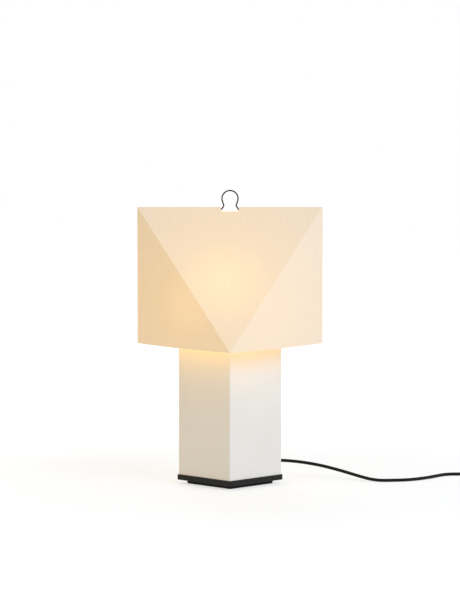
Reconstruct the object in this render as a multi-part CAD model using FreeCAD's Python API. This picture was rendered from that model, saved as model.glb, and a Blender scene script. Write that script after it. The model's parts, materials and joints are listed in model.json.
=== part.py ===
# A table lamp: a square sheet-metal column on a black weighted foot, under a shade that is folded
# from one stiff paper sheet. The shade is a square box below and closes to one straight ridge above.
# Two bent steel tubes stand on the column and carry the ridge from inside. An omega-shaped spring
# wire joins the tubes through a notch in the ridge, and is the handle that the lamp is known by.
#
# Lengths are millimetres. The origin is on the floor under the middle of the foot. +Z is up, X runs
# along the ridge, and -Y points at the front corner of the shade and of the column. The column, the
# foot and what is fixed to their walls are drawn square to X and Y, and then turned by 45 degrees.
import FreeCAD, Part
import math
import os

from FreeCAD import Vector

# ---- foot and base plate
foot_side = 112.5
foot_height = 7.0
foot_edge = 1.5
plate_side = 138.0
plate_thickness = 10.0
plate_edge = 0.8
plate_corner = 2.5

# ---- column
column_side = 134.0
column_height = 243.0
column_wall = 1.5
column_bend = 2.2
flange_width = 15.0
cap_thickness = 2.0

# ---- screws and rivet nuts at the four corners of the column
corner_screw_inset = 8.0
screw_radius = 2.0
screw_clearance = 0.2
screw_head_radius = 3.8
screw_head_height = 2.4
screw_key = 2.5
screw_length_below = 18.0
screw_length_above = 12.0
rivet_nut_radius = 3.1
rivet_nut_rim = 4.6
rivet_nut_rim_height = 0.9
rivet_nut_length = 9.0

# ---- shade
shade_side = 240.0
shade_height = 250.5
shade_drop = 2.4
sheet_thickness = 0.7
seam_flap_width = 12.0
notch_half_top = 16.4
notch_half_bottom = 12.8
notch_depth = 9.0
notch_corner = 2.4

# ---- frame that carries the shade
tube_radius = 2.0
ridge_gap = 0.3
rail_end = 21.0
rail_reach = 152.0
rail_bend = 12.0
leg_spacing = 112.0
leg_straight = 28.0
leg_bend = 25.0
saddle_width = 18.0
saddle_thickness = 2.0
saddle_overhang = 7.0
socket_wall = 1.5
socket_height = 16.0
socket_gap = 0.15

# ---- clip on the ridge
clip_wire_radius = 1.25
clip_clearance = 0.08
clip_loop_radius = 14.7
clip_loop_height = 15.2
clip_knee = 15.9
clip_waist = 11.15
clip_flare = math.radians(57)
clip_bend = 3.0
clip_foot_end = 33.0

# ---- lampholder, measured up from the top of the saddle
nipple_radius = 4.9
nipple_bore = 3.5
nipple_clearance = 0.1
nipple_below = 8.0
nipple_above = 8.5
nut_flats = 14.0
nut_height = 3.0
washer_radius = 9.0
washer_thickness = 1.0
holder_radius = 19.5
holder_wall = 2.0
holder_dome = 9.0
holder_cap_height = 18.0
boss_radius = 9.0
insert_thickness = 8.0
insert_gap = 0.2
shoulder_radius = 22.5
shoulder_thickness = 3.0
shoulder_top = 29.0
holder_height = 49.0
holder_thread_radius = 19.9
sleeve_wall = 0.6
sleeve_clearance = 0.1
sleeve_height = 25.0
shade_ring_radius = 27.0
shade_ring_flange = 3.0
shade_ring_height = 8.0
shade_ring_collar = 23.5
shade_ring_grips = 16
shade_ring_gap = 0.2
contact_width = 6.0
contact_thickness = 0.6
contact_rise = 3.6
contact_gap = 0.2

# ---- spreader: the two arms that hold the front and back corners of the shade apart
spreader_ring_radius = 28.0
spreader_ring_thickness = 2.0
spreader_rod = 1.5
spreader_weld = 0.4
spreader_level = 22.0
spreader_bend = 20.0
spreader_tip_radius = 3.0
spreader_tip_height = 6.0
spreader_tip_grip = 5.0
spreader_tip_wall = 0.8
spreader_tip_gap = 0.3

# ---- bulb with a screw cap, measured up from its tip
bulb_tip_radius = 4.8
bulb_tip_height = 1.2
bulb_insulator_height = 5.0
bulb_insulator_radius = 11.0
bulb_cap_radius = 13.1
bulb_cap_height = 20.5
bulb_cap_wall = 0.4
bulb_neck_radius = 13.4
bulb_neck_height = 6.5
bulb_globe_radius = 30.0
bulb_length = 103.0
bulb_glass = 0.8
stem_radius = 3.0
stem_height = 26.0
filament_radius = 0.9
filament_length = 26.0
filament_circle = 8.0
filament_lean = 12.0
filament_count = 4

# ---- cord, its gland in the column and its anchor inside
cord_radius = 3.0
cord_fit = 0.15
cord_exit_height = 33.0
cord_start = 8.5
gland_stem_radius = 5.4
gland_hole_gap = 0.1
gland_flange_radius = 8.0
gland_flange = 2.0
gland_sleeve_root = 6.4
gland_sleeve_tip = 4.3
gland_sleeve_length = 21.0
gland_nut_height = 4.0
anchor_length = 12.0
anchor_width = 26.0
anchor_place = 44.0
anchor_gap = 0.4
anchor_corner = 2.0
anchor_bar_height = 5.0
anchor_screw_spacing = 17.0
anchor_screw_radius = 1.5
anchor_screw_depth = 9.0
lead_bend = 36.0

# ---- switch in the cord
switch_x = 501.0
switch_y = 106.5
switch_length = 62.0
switch_width = 27.0
switch_corner = 7.0
switch_axis_height = 6.5
switch_height = 15.0
switch_wall = 2.0
switch_edge = 1.5
rocker_length = 15.4
rocker_width = 10.4
rocker_gap = 0.6
rocker_end_gap = 0.9
rocker_pivot_height = 10.4
rocker_rise = 5.6
rocker_dip = 1.2
rocker_belly = 3.6
rocker_tilt = 7.0
trunnion_radius = 1.2
trunnion_clearance = 0.05
trunnion_reach = 1.6
cheek_thickness = 2.4
cheek_half_length = 4.0
switch_boss_radius = 3.2
switch_boss_x = 21.0
switch_boss_y = 8.2
switch_screw_radius = 1.3
switch_screw_head = 2.4
switch_screw_head_height = 1.6

# ---- coil of put-away cord
coil_x = 577.0
coil_y = 67.0
coil_middle_radius = 33.3
coil_turns_wide = 3
coil_layers = 2
turn_spacing = 6.2
layer_rise = 6.1
coil_bite = 14.0

# ---- plug
plug_face_x = 494.0
plug_y = 27.5
plug_width = 35.3
plug_thickness = 13.7
plug_flat_width = 22.0
plug_shoulder = 12.0
plug_length = 36.0
plug_rear_width = 13.0
plug_edge = 1.0
plug_relief_length = 17.0
plug_relief_root = 4.8
plug_relief_tip = 4.0
pin_radius = 2.0
pin_spacing = 19.0
pin_length = 19.0
pin_core_radius = 1.5
pin_sleeve_length = 10.0
pin_root = 12.0
pin_tip_round = 0.9

# ---- levels and lines that follow from the sizes above
plate_bottom = foot_height
plate_top = plate_bottom + plate_thickness
column_top = plate_top + column_height
cap_top = column_top + cap_thickness
saddle_top = cap_top + saddle_thickness
shade_bottom = cap_top - shade_drop
ridge = shade_bottom + shade_height
shade_half = shade_side / math.sqrt(2)
lean = math.atan2(shade_half, shade_height)
rail_height = ridge - (sheet_thickness + ridge_gap + tube_radius) / math.sin(lean)
corner_screw = column_side / 2 - corner_screw_inset
column_inner = column_side / 2 - column_wall
insert_top = saddle_top + holder_cap_height - insert_gap
bulb_tip = insert_top + contact_rise + contact_thickness + contact_gap
spreader_height = saddle_top + shoulder_top
tube_bore = clip_wire_radius + clip_clearance
sleeve_inner = bulb_cap_radius + sleeve_clearance
sleeve_outer = sleeve_inner + sleeve_wall
coil_ring_outer = coil_middle_radius + (coil_turns_wide - 1) * turn_spacing / 2 + cord_radius
coil_ring_inner = coil_middle_radius - (coil_turns_wide - 1) * turn_spacing / 2 - cord_radius
coil_height = 2 * cord_radius + (coil_layers - 1) * layer_rise
plug_axis_height = plug_thickness / 2
screw_end = switch_height - 2 * switch_wall

# The cord's route. Its first point is inside the column, and the points after the switch lead to
# the coil and from the coil to the plug. They follow how a real cord of this kind lies.
cord_route = [
    Vector(77.0, 77.0, 33.0),
    Vector(118.0, 98.5, 28.6),
    Vector(164.0, 101.0, 21.2),
    Vector(206.0, 76.0, 13.5),
    Vector(240.0, 41.0, 7.2),
    Vector(268.0, 17.5, cord_radius),
    Vector(303.0, 18.5, cord_radius),
    Vector(338.0, 29.0, cord_radius),
    Vector(372.0, 62.0, cord_radius),
    Vector(401.0, 104.0, cord_radius),
    Vector(437.0, 104.5, cord_radius),
]


def turned(shape):
    """Turns a shape that was drawn square to X and Y by 45 degrees, as the column stands."""
    copy = shape.copy()
    copy.rotate(Vector(0, 0, 0), Vector(0, 0, 1), 45)
    return copy


def moved(shape, x=0.0, y=0.0, z=0.0):
    copy = shape.copy()
    copy.translate(Vector(x, y, z))
    return copy


def at_corners(shape, offset):
    """Four copies of a shape, one at each corner of a square that is drawn square to X and Y."""
    places = [(sx * offset, sy * offset) for sx in (-1, 1) for sy in (-1, 1)]
    return [moved(shape, x, y) for x, y in places]


def cylinder(radius, low, high, x=0.0, y=0.0):
    return Part.makeCylinder(radius, high - low, Vector(x, y, low))


def rod_x(radius, low, high, y, z):
    """A cylinder that lies along X from low to high."""
    return Part.makeCylinder(radius, high - low, Vector(low, y, z), Vector(1, 0, 0))


def rod_y(radius, half_length, x, y, z):
    """A cylinder that lies along Y, with its middle at x, y, z."""
    return Part.makeCylinder(radius, 2 * half_length, Vector(x, y - half_length, z), Vector(0, 1, 0))


def ring(outer, inner, low, high, x=0.0, y=0.0):
    return cylinder(outer, low, high, x, y).cut(cylinder(inner, low, high, x, y))


def block(length, width, low, high, x=0.0, y=0.0):
    """A box whose middle stands at x, y."""
    return Part.makeBox(length, width, high - low, Vector(x - length / 2, y - width / 2, low))


def rounded_block(length, width, low, high, corner, x=0.0, y=0.0):
    solid = block(length, width, low, high, x, y)
    upright = [e for e in solid.Edges if abs(e.tangentAt(e.FirstParameter).z) > 0.9]
    return solid.makeFillet(corner, upright)


def edges_at(solid, height):
    """The edges of a solid that lie flat at one height."""
    return [e for e in solid.Edges if abs(e.BoundBox.ZMin - height) < 1e-6 and e.BoundBox.ZLength < 1e-6]


def outline(steps):
    """A closed wire from its steps: a point is a straight line to it, a pair is an arc by its middle."""
    edges = []
    here = steps[0]
    for step in steps[1:] + [steps[0]]:
        if isinstance(step, tuple):
            middle, end = step
            edges.append(Part.Arc(here, middle, end).toShape())
        else:
            end = step
            if end.distanceToPoint(here) > 1e-9:
                edges.append(Part.LineSegment(here, end).toShape())
        here = end
    return Part.Wire(edges)


def spun(steps):
    """A solid of revolution about Z from an outline in the XZ plane, given as radius and height."""
    return Part.Face(outline(steps)).revolve(Vector(0, 0, 0), Vector(0, 0, 1), 360)


def rz(radius, height):
    return Vector(radius, 0, height)


def dome(radius, base, crown):
    """The arc of a round cap, from its rim at the base height to its crown on the axis."""
    rise = crown - base
    ball = (radius**2 + rise**2) / (2 * rise)
    half = math.asin(radius / abs(ball)) / 2
    middle = rz(abs(ball) * math.sin(half), crown - ball + ball * math.cos(half))
    return middle, rz(0, crown)


def hexagon(flats, low, high):
    """A hexagonal prism about Z, by its width across the flats."""
    corner = flats / math.sqrt(3)
    points = [
        Vector(corner * math.cos(math.radians(60 * n)), corner * math.sin(math.radians(60 * n)), low)
        for n in range(7)
    ]
    return Part.Face(Part.makePolygon(points)).extrude(Vector(0, 0, high - low))


def rounded_wire(points, radii):
    """Straight runs through the points, with a tangent arc of its own radius at each inner point."""
    edges = []
    here = points[0]
    for before, corner, after, radius in zip(points, points[1:], points[2:], radii):
        back = (before - corner).normalize()
        onward = (after - corner).normalize()
        half_turn = (math.pi - back.getAngle(onward)) / 2
        reach = radius * math.tan(half_turn)
        inside = (back + onward).normalize()
        first = corner + back * reach
        middle = corner + inside * (radius / math.cos(half_turn) - radius)
        last = corner + onward * reach
        edges.append(Part.LineSegment(here, first).toShape())
        edges.append(Part.Arc(first, middle, last).toShape())
        here = last
    edges.append(Part.LineSegment(here, points[-1]).toShape())
    return Part.Wire(edges)


def cord_radii(points):
    """The largest arc at each inner point that leaves a tenth of the shorter run straight."""
    share = 0.45
    radii = []
    for before, corner, after in zip(points, points[1:], points[2:]):
        turn = (corner - before).getAngle(after - corner)
        shorter = min(corner.distanceToPoint(before), corner.distanceToPoint(after))
        radii.append(share * shorter / math.tan(turn / 2))
    return radii


def rod_along(wire, radius):
    """A round rod along a wire whose edges are tangent to each other."""
    first = wire.Edges[0]
    start = first.valueAt(first.FirstParameter)
    section = Part.Wire(Part.makeCircle(radius, start, first.tangentAt(first.FirstParameter)))
    return wire.makePipeShell([section], True, False)


def save(name, *solids):
    shape = solids[0] if len(solids) == 1 else Part.makeCompound(list(solids))
    shape.exportStep(f"parts/{name}.step")


# ---------------------------------------------------------------- foot, base plate and column


def foot_pad():
    """The rubber pad under the base plate. It stands back from the plate's edge on every side."""
    pad = rounded_block(foot_side, foot_side, 0, foot_height, plate_corner)
    pad = pad.makeChamfer(foot_edge, edges_at(pad, 0))
    return turned(pad)


def base_plate():
    """The black steel weight, with countersunk holes for the column's screws."""
    plate = rounded_block(plate_side, plate_side, plate_bottom, plate_top, plate_corner)
    plate = plate.makeChamfer(plate_edge, edges_at(plate, plate_top) + edges_at(plate, plate_bottom))
    hole = cylinder(screw_radius + screw_clearance, plate_bottom, plate_top)
    sink = Part.makeCone(
        screw_head_radius + screw_clearance,
        screw_radius + screw_clearance,
        screw_head_height,
        Vector(0, 0, plate_bottom),
    )
    for cutter in at_corners(hole.fuse(sink), corner_screw):
        plate = plate.cut(cutter)
    return turned(plate)


def base_screws():
    """Four countersunk screws that come up through the plate into the column's lower flange."""
    head = Part.makeCone(screw_head_radius, screw_radius, screw_head_height, Vector(0, 0, plate_bottom))
    shank = cylinder(screw_radius, plate_bottom, plate_bottom + screw_length_below)
    recess = hexagon(screw_key, plate_bottom, plate_bottom + screw_head_height / 2)
    screw = head.fuse(shank).cut(recess)
    return [turned(s) for s in at_corners(screw, corner_screw)]


def rivet_nut(seat, upwards):
    """A threaded insert on a flange: its rim lies on the flange and its body passes the flange."""
    way = 1 if upwards else -1
    low, high = sorted((seat, seat + way * rivet_nut_rim_height))
    rim = ring(rivet_nut_rim, screw_radius + screw_clearance, low, high)
    low, high = sorted((seat - way * column_wall, seat + way * (rivet_nut_length - column_wall)))
    body = ring(rivet_nut_radius, screw_radius + screw_clearance, low, high)
    return rim.fuse(body).removeSplitter()


def rivet_nuts():
    """Eight inserts: four on the lower flange and four under the upper one."""
    lower = at_corners(rivet_nut(plate_top + column_wall, True), corner_screw)
    upper = at_corners(rivet_nut(column_top - column_wall, False), corner_screw)
    return [turned(s) for s in lower + upper]


def column_shell():
    """The folded sheet-metal column, open inside, with flanges turned in at both ends."""
    outer = rounded_block(column_side, column_side, plate_top, column_top, column_bend)
    inner_side = column_side - 2 * column_wall
    hollow = rounded_block(
        inner_side, inner_side, plate_top + column_wall, column_top - column_wall, column_bend - column_wall
    )
    mouth_side = inner_side - 2 * flange_width
    mouth = rounded_block(mouth_side, mouth_side, plate_top, column_top, column_bend)
    shell = outer.cut(hollow).cut(mouth)
    insert = cylinder(rivet_nut_radius + screw_clearance, plate_top, column_top)
    for cutter in at_corners(insert, corner_screw):
        shell = shell.cut(cutter)
    gland_hole = rod_x(gland_stem_radius + gland_hole_gap, 0, column_side, 0, cord_exit_height)
    return turned(shell.cut(gland_hole))


def column_cap():
    """The plate that closes the column and carries the lampholder."""
    plate = rounded_block(column_side, column_side, column_top, cap_top, column_bend)
    plate = plate.makeFillet(cap_thickness / 3, edges_at(plate, cap_top))
    plate = plate.cut(cylinder(nipple_radius + nipple_clearance, column_top, cap_top))
    hole = cylinder(screw_radius + screw_clearance, column_top, cap_top)
    for cutter in at_corners(hole, corner_screw):
        plate = plate.cut(cutter)
    return turned(plate)


def cap_screws():
    """Four round-headed screws that hold the cap to the upper flange."""
    shank = cylinder(screw_radius, cap_top - screw_length_above, cap_top)
    crown = cap_top + screw_head_height
    head = spun([rz(0, cap_top), rz(screw_head_radius, cap_top), dome(screw_head_radius, cap_top, crown)])
    recess = hexagon(screw_key, crown - screw_head_height / 2, crown)
    screw = shank.fuse(head).cut(recess)
    return [turned(s) for s in at_corners(screw, corner_screw)]


# ---------------------------------------------------------------- shade


def shade_body(inset, low, high):
    """The shade's outer form, or that form drawn in by inset: a square box under two leaning planes."""
    half = shade_half - inset * math.sqrt(2)
    crest = ridge - inset / math.sin(lean)
    square = [Vector(half, 0, low), Vector(0, half, low), Vector(-half, 0, low), Vector(0, -half, low)]
    prism = Part.Face(Part.makePolygon(square + square[:1])).extrude(Vector(0, 0, high - low))
    spread = (crest - low) * math.tan(lean)
    gable = [Vector(-half, -spread, low), Vector(-half, spread, low), Vector(-half, 0, crest)]
    wedge = Part.Face(Part.makePolygon(gable + gable[:1])).extrude(Vector(2 * half, 0, 0))
    return prism.common(wedge)


def notch_cutter(half_top, half_bottom, depth, corner):
    """The prism that cuts the notch through both leaning faces at the middle of the ridge."""
    reach = 2 * depth
    lift = depth
    points = [
        Vector(-half_top, -reach, ridge + lift),
        Vector(-half_top, -reach, ridge - depth + corner),
        Vector(-half_bottom, -reach, ridge - depth),
        Vector(half_bottom, -reach, ridge - depth),
        Vector(half_top, -reach, ridge - depth + corner),
        Vector(half_top, -reach, ridge + lift),
        Vector(-half_top, -reach, ridge + lift),
    ]
    return Part.Face(Part.makePolygon(points)).extrude(Vector(0, 2 * reach, 0))


def folded_sheet():
    """The whole folded sheet with its two glued seam flaps and its notch."""
    room = shade_body(sheet_thickness, shade_bottom - 1, ridge)
    sheet = shade_body(0, shade_bottom, ridge).cut(room)
    inner = shade_side / 2 - sheet_thickness
    corner = Vector(inner - seam_flap_width, inner - sheet_thickness, shade_bottom)
    flap = Part.makeBox(seam_flap_width, sheet_thickness, shade_height, corner)
    flap.rotate(Vector(0, 0, 0), Vector(0, 0, 1), -45)
    for piece in (flap, flap.mirror(Vector(0, 0, 0), Vector(1, 0, 0))):
        sheet = sheet.fuse(piece.common(room))
    sheet = sheet.cut(notch_cutter(notch_half_top, notch_half_bottom, notch_depth, notch_corner))
    return sheet.removeSplitter()


def shade_sheet():
    """The sheet as flat panels, divided along the scored folds, so that each one is convex.

    The four slanting folds lie in two planes that run along Y and meet under the lamp's middle, so
    one V-shaped wedge parts the leaning panels from the upright ones. The notch's two sides, carried
    on downwards, part each leaning panel again, into a left, a middle and a right piece.
    """
    sheet = folded_sheet()
    reach = 2 * shade_half
    rise = reach * shade_height / shade_half
    start = Vector(0, -reach, shade_bottom)
    fold_planes = [start, start + Vector(-reach, 0, rise), start + Vector(reach, 0, rise), start]
    wedge = Part.Face(Part.makePolygon(fold_planes)).extrude(Vector(0, 2 * reach, 0))
    middle = block(2 * notch_half_top, 2 * reach, shade_bottom, ridge)
    panels = []
    for side in (-1, 1):
        half = sheet.common(block(2 * reach, reach, shade_bottom, ridge, 0, side * reach / 2))
        leaning = half.common(wedge)
        panels += half.cut(wedge).Solids
        panels += leaning.common(middle).Solids
        panels += leaning.cut(middle).Solids
    return panels


# ---------------------------------------------------------------- frame inside the shade


def harp(side):
    """One half of the frame: a tube that stands in the saddle, leans out and turns in as a rail."""
    foot = leg_spacing / 2
    points = [
        Vector(foot, 0, saddle_top),
        Vector(foot, 0, saddle_top + leg_straight),
        Vector(rail_reach, 0, rail_height),
        Vector(rail_end, 0, rail_height),
    ]
    wire = rounded_wire(points, [leg_bend, rail_bend])
    tube = rod_along(wire, tube_radius).cut(rod_along(wire, tube_bore))
    return tube if side > 0 else tube.mirror(Vector(0, 0, 0), Vector(1, 0, 0))


def harp_saddle():
    """The flat strip under the lampholder, with a welded socket at each end for the frame's legs."""
    length = leg_spacing + 2 * (tube_radius + socket_wall + saddle_overhang)
    strip = rounded_block(length, saddle_width, cap_top, saddle_top, saddle_width / 2.2)
    strip = strip.cut(cylinder(nipple_radius + nipple_clearance, cap_top, saddle_top))
    bore = tube_radius + socket_gap
    for side in (-1, 1):
        x = side * leg_spacing / 2
        socket = ring(bore + socket_wall, bore, saddle_top, saddle_top + socket_height, x)
        strip = strip.fuse(socket)
    return strip.removeSplitter()


def ridge_clip():
    """The omega spring wire: a round loop, a waist, and feet that lie in the ends of the rails.

    Each side flares out below the waist, so that it meets the rail's line just inside the notch. Its
    straight part above the waist touches the loop's circle.
    """
    loop = Vector(0, 0, ridge + clip_loop_height)
    foot = Vector(clip_foot_end, 0, rail_height)
    knee = Vector(clip_knee, 0, rail_height)
    waist = Vector(clip_waist, 0, rail_height + (clip_knee - clip_waist) * math.tan(clip_flare))
    across = loop - waist
    straight = math.sqrt(across.Length**2 - clip_loop_radius**2)
    heading = math.atan2(across.z, across.x) - math.asin(clip_loop_radius / across.Length)
    touch = waist + Vector(math.cos(heading), 0, math.sin(heading)) * straight
    right = rounded_wire([foot, knee, waist, touch], [clip_bend, clip_bend])
    left = right.mirror(Vector(0, 0, 0), Vector(1, 0, 0))
    top = loop + Vector(0, 0, clip_loop_radius)
    crown = Part.Arc(touch, top, Vector(-touch.x, 0, touch.z)).toShape()
    wire = Part.Wire(Part.sortEdges(right.Edges + [crown] + left.Edges)[0])
    return rod_along(wire, clip_wire_radius)


def spreader_tip_place():
    """How far out the tips of the arms lie, so that they touch neither leaning face nor corner."""
    clear = spreader_tip_radius + sheet_thickness + spreader_tip_gap
    to_leaning_face = shade_half - (clear + spreader_tip_height * math.sin(lean)) / math.cos(lean)
    to_corner = shade_half - clear * math.sqrt(2)
    return min(to_leaning_face, to_corner)


def spreader_points():
    start = spreader_height - spreader_rod + spreader_weld
    return [
        Vector(0, shoulder_radius + spreader_rod / 2, start),
        Vector(0, spreader_ring_radius + spreader_level, start),
        Vector(0, spreader_tip_place(), shade_bottom + spreader_tip_height),
    ]


def spreader():
    """The flat ring that the lampholder clamps, with a rod to the front and one to the back."""
    plate = ring(
        spreader_ring_radius,
        holder_thread_radius + shade_ring_gap,
        spreader_height,
        spreader_height + spreader_ring_thickness,
    )
    rod = rod_along(rounded_wire(spreader_points(), [spreader_bend]), spreader_rod)
    both = plate.fuse(rod).fuse(rod.mirror(Vector(0, 0, 0), Vector(0, 1, 0)))
    return both.removeSplitter()


def spreader_tips():
    """A rubber ball pushed onto the end of each arm, where the paper's corner lies against it."""
    points = spreader_points()
    heading = (points[2] - points[1]).normalize()
    ball = Part.makeSphere(spreader_tip_radius, points[2])
    mouth = points[2] - heading * spreader_tip_grip
    grip = Part.makeCylinder(spreader_rod + spreader_tip_wall, spreader_tip_grip, mouth, heading)
    rod = Part.makeCylinder(spreader_rod, spreader_tip_grip, mouth, heading)
    tip = ball.fuse(grip).cut(rod)
    return [tip, tip.mirror(Vector(0, 0, 0), Vector(0, 1, 0))]


# ---------------------------------------------------------------- lampholder


def threaded_nipple():
    """The hollow threaded tube that ties column cap, saddle and lampholder together."""
    return ring(nipple_radius, nipple_bore, column_top - nipple_below, saddle_top + nipple_above)


def nipple_washer():
    return ring(washer_radius, nipple_radius + nipple_clearance, column_top - washer_thickness, column_top)


def nipple_nut():
    high = column_top - washer_thickness
    nut = hexagon(nut_flats, high - nut_height, high)
    return nut.cut(cylinder(nipple_radius + nipple_clearance, high - nut_height, high))


def holder_cap():
    """The lampholder's lower half: a dome with a threaded boss and a ledge for the insert."""
    bore = nipple_radius + nipple_clearance
    ledge = holder_cap_height - insert_thickness - insert_gap
    inner = holder_radius - holder_wall
    base = holder_radius - holder_dome
    sweep = math.sqrt(0.5)
    steps = [
        rz(bore, 0),
        rz(base, 0),
        (rz(base + holder_dome * sweep, holder_dome * (1 - sweep)), rz(holder_radius, holder_dome)),
        rz(holder_radius, holder_cap_height),
        rz(inner, holder_cap_height),
        rz(inner, ledge),
        rz(inner - holder_wall, ledge),
        rz(inner - holder_wall, holder_dome / 2 + holder_wall),
        rz(base - holder_wall / 2, holder_wall),
        rz(boss_radius, holder_wall),
        rz(boss_radius, nipple_above),
        rz(bore, nipple_above),
    ]
    return moved(spun(steps), z=saddle_top)


def holder_insert():
    """The ceramic disc that carries the contacts inside the lampholder."""
    low = insert_top - insert_thickness
    disc = cylinder(holder_radius - holder_wall - insert_gap, low, insert_top)
    for side in (-1, 1):
        disc = disc.cut(cylinder(screw_radius, low, insert_top, 0, side * boss_radius))
    return disc


def terminal_screws():
    """Two screws that clamp the wires at the insert."""
    low = insert_top - insert_thickness
    radius = screw_radius - screw_clearance
    return [cylinder(radius, low, insert_top, 0, side * boss_radius) for side in (-1, 1)]


def centre_contact():
    """The brass spring tongue under the tip of the bulb, bent from one strip."""
    reach = sleeve_inner - 2
    low = insert_top + contact_thickness / 2
    high = low + contact_rise
    bends = [
        Vector(-reach, 0, low),
        Vector(-reach / 4, 0, low),
        Vector(-reach / 2, 0, high),
        Vector(reach / 4, 0, high),
        Vector(reach / 3, 0, high - contact_rise / 3),
    ]
    profile = Part.makePolygon(bends).makeOffset2D(contact_thickness / 2, 0, False, False)
    strip = Part.Face(profile).extrude(Vector(0, contact_width, 0))
    return moved(strip, y=-contact_width / 2)


def thread_sleeve():
    """The metal sleeve that the bulb's cap screws into."""
    return ring(sleeve_outer, sleeve_inner, insert_top, insert_top + sleeve_height)


def holder_shell():
    """The lampholder's upper half, with its shoulder and its outside thread."""
    low = holder_cap_height
    bore = sleeve_outer + insert_gap
    shoulder_low = shoulder_top - shoulder_thickness
    lip = holder_wall
    steps = [
        rz(bore, low),
        rz(holder_radius, low),
        rz(holder_radius, shoulder_low),
        rz(shoulder_radius, shoulder_low),
        rz(shoulder_radius, shoulder_top),
        rz(holder_thread_radius, shoulder_top),
        rz(holder_thread_radius, holder_height - 1),
        rz(holder_thread_radius - 1, holder_height),
        rz(sleeve_inner + insert_gap, holder_height),
        rz(sleeve_inner + insert_gap, holder_height - lip),
        rz(bore, holder_height - lip),
    ]
    return moved(spun(steps), z=saddle_top)


def shade_ring():
    """The ring that screws down over the lampholder and clamps the spreader, with finger grips."""
    low = shoulder_top + spreader_ring_thickness
    bore = holder_thread_radius + shade_ring_gap
    steps = [
        rz(bore, low),
        rz(shade_ring_radius, low),
        rz(shade_ring_radius, low + shade_ring_flange),
        rz(shade_ring_collar, low + shade_ring_flange),
        rz(shade_ring_collar, low + shade_ring_height),
        rz(bore, low + shade_ring_height),
    ]
    body = spun(steps)
    grip_radius = 1.6
    grip = cylinder(grip_radius, low, low + shade_ring_flange, shade_ring_radius + grip_radius / 2)
    for n in range(shade_ring_grips):
        cutter = grip.copy()
        cutter.rotate(Vector(0, 0, 0), Vector(0, 0, 1), 360 * n / shade_ring_grips)
        body = body.cut(cutter)
    return moved(body, z=saddle_top)


# ---------------------------------------------------------------- bulb


def bulb_levels():
    insulator = bulb_tip + bulb_tip_height
    cap = insulator + bulb_insulator_height
    neck = cap + bulb_cap_height
    middle = bulb_tip + bulb_length - bulb_globe_radius
    return insulator, cap, neck, middle


def bulb_contact():
    """The solder button at the bulb's tip."""
    high = bulb_tip_height
    button = spun([rz(0, high), rz(bulb_tip_radius, high), dome(bulb_tip_radius, high, 0)])
    return moved(button, z=bulb_tip)


def bulb_insulator():
    """The black glass cone between the tip and the screw cap."""
    insulator, cap, _, _ = bulb_levels()
    tip = bulb_tip_radius + 1
    return Part.makeCone(tip, bulb_insulator_radius, cap - insulator, Vector(0, 0, insulator))


def bulb_screw_cap():
    """The thin metal cap with its closed lower end. The thread is left to the finish."""
    _, cap, neck, _ = bulb_levels()
    floor = bulb_cap_wall
    outer = cylinder(bulb_cap_radius, cap, neck)
    outer = outer.makeFillet(bulb_cap_wall * 3, edges_at(outer, cap))
    return outer.cut(cylinder(bulb_cap_radius - bulb_cap_wall, cap + floor, neck))


def globe_steps(inset, low):
    """Half the bulb's outline: a straight neck, an inward curve and the round of the globe."""
    _, _, neck, middle = bulb_levels()
    globe = bulb_globe_radius - inset
    throat = bulb_neck_radius - inset
    start = neck + bulb_neck_height
    height = middle - start
    curve = (throat**2 + height**2 - globe**2) / (2 * (globe - throat))
    centre = rz(throat + curve, start)
    towards = (rz(0, middle) - centre).normalize()
    touch = centre + towards * curve
    angle = math.atan2(towards.z, towards.x)
    half = (math.pi + angle) / 2
    waist = centre + rz(math.cos(half), math.sin(half)) * curve
    side = math.atan2(touch.z - middle, touch.x)
    shoulder = (side + math.pi / 2) / 2
    round_off = rz(globe * math.cos(shoulder), middle + globe * math.sin(shoulder))
    return [
        rz(0, low),
        rz(throat, low),
        rz(throat, start),
        (waist, touch),
        (round_off, rz(0, middle + globe)),
    ]


def bulb_globe():
    """The opal glass: a thin hollow globe on a neck that stands on the cap."""
    _, _, neck, _ = bulb_levels()
    outer = spun(globe_steps(0, neck))
    return outer.cut(spun(globe_steps(bulb_glass, neck)))


def bulb_stem():
    """The glass stem inside the bulb that holds the light filaments."""
    _, cap, neck, _ = bulb_levels()
    low = cap + bulb_cap_wall
    flare_radius = bulb_cap_radius - 2 * bulb_cap_wall - 1
    flare = Part.makeCone(flare_radius, stem_radius, neck - low, Vector(0, 0, low))
    return flare.fuse(cylinder(stem_radius, neck, neck + stem_height)).removeSplitter()


def bulb_filaments():
    """The four light filaments, which lean against the head of the stem."""
    _, _, neck, _ = bulb_levels()
    low = neck + stem_height - filament_length / 3
    rods = []
    for n in range(filament_count):
        rod = cylinder(filament_radius, low, low + filament_length, filament_circle)
        foot = Vector(filament_circle, 0, low)
        rod.rotate(foot, Vector(0, 1, 0), -filament_lean)
        wire = rod_x(filament_radius / 2, stem_radius, filament_circle, 0, low + filament_radius)
        piece = rod.fuse(wire)
        piece.rotate(Vector(0, 0, 0), Vector(0, 0, 1), 360 * n / filament_count)
        rods.append(piece)
    return rods


# ---------------------------------------------------------------- cord, gland and anchor


def lying(shape):
    """Turns a shape that was drawn upright on Z so that it lies along X, at the cord's exit."""
    copy = shape.copy()
    copy.rotate(Vector(0, 0, 0), Vector(0, 1, 0), 90)
    return turned(moved(copy, z=cord_exit_height))


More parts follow.
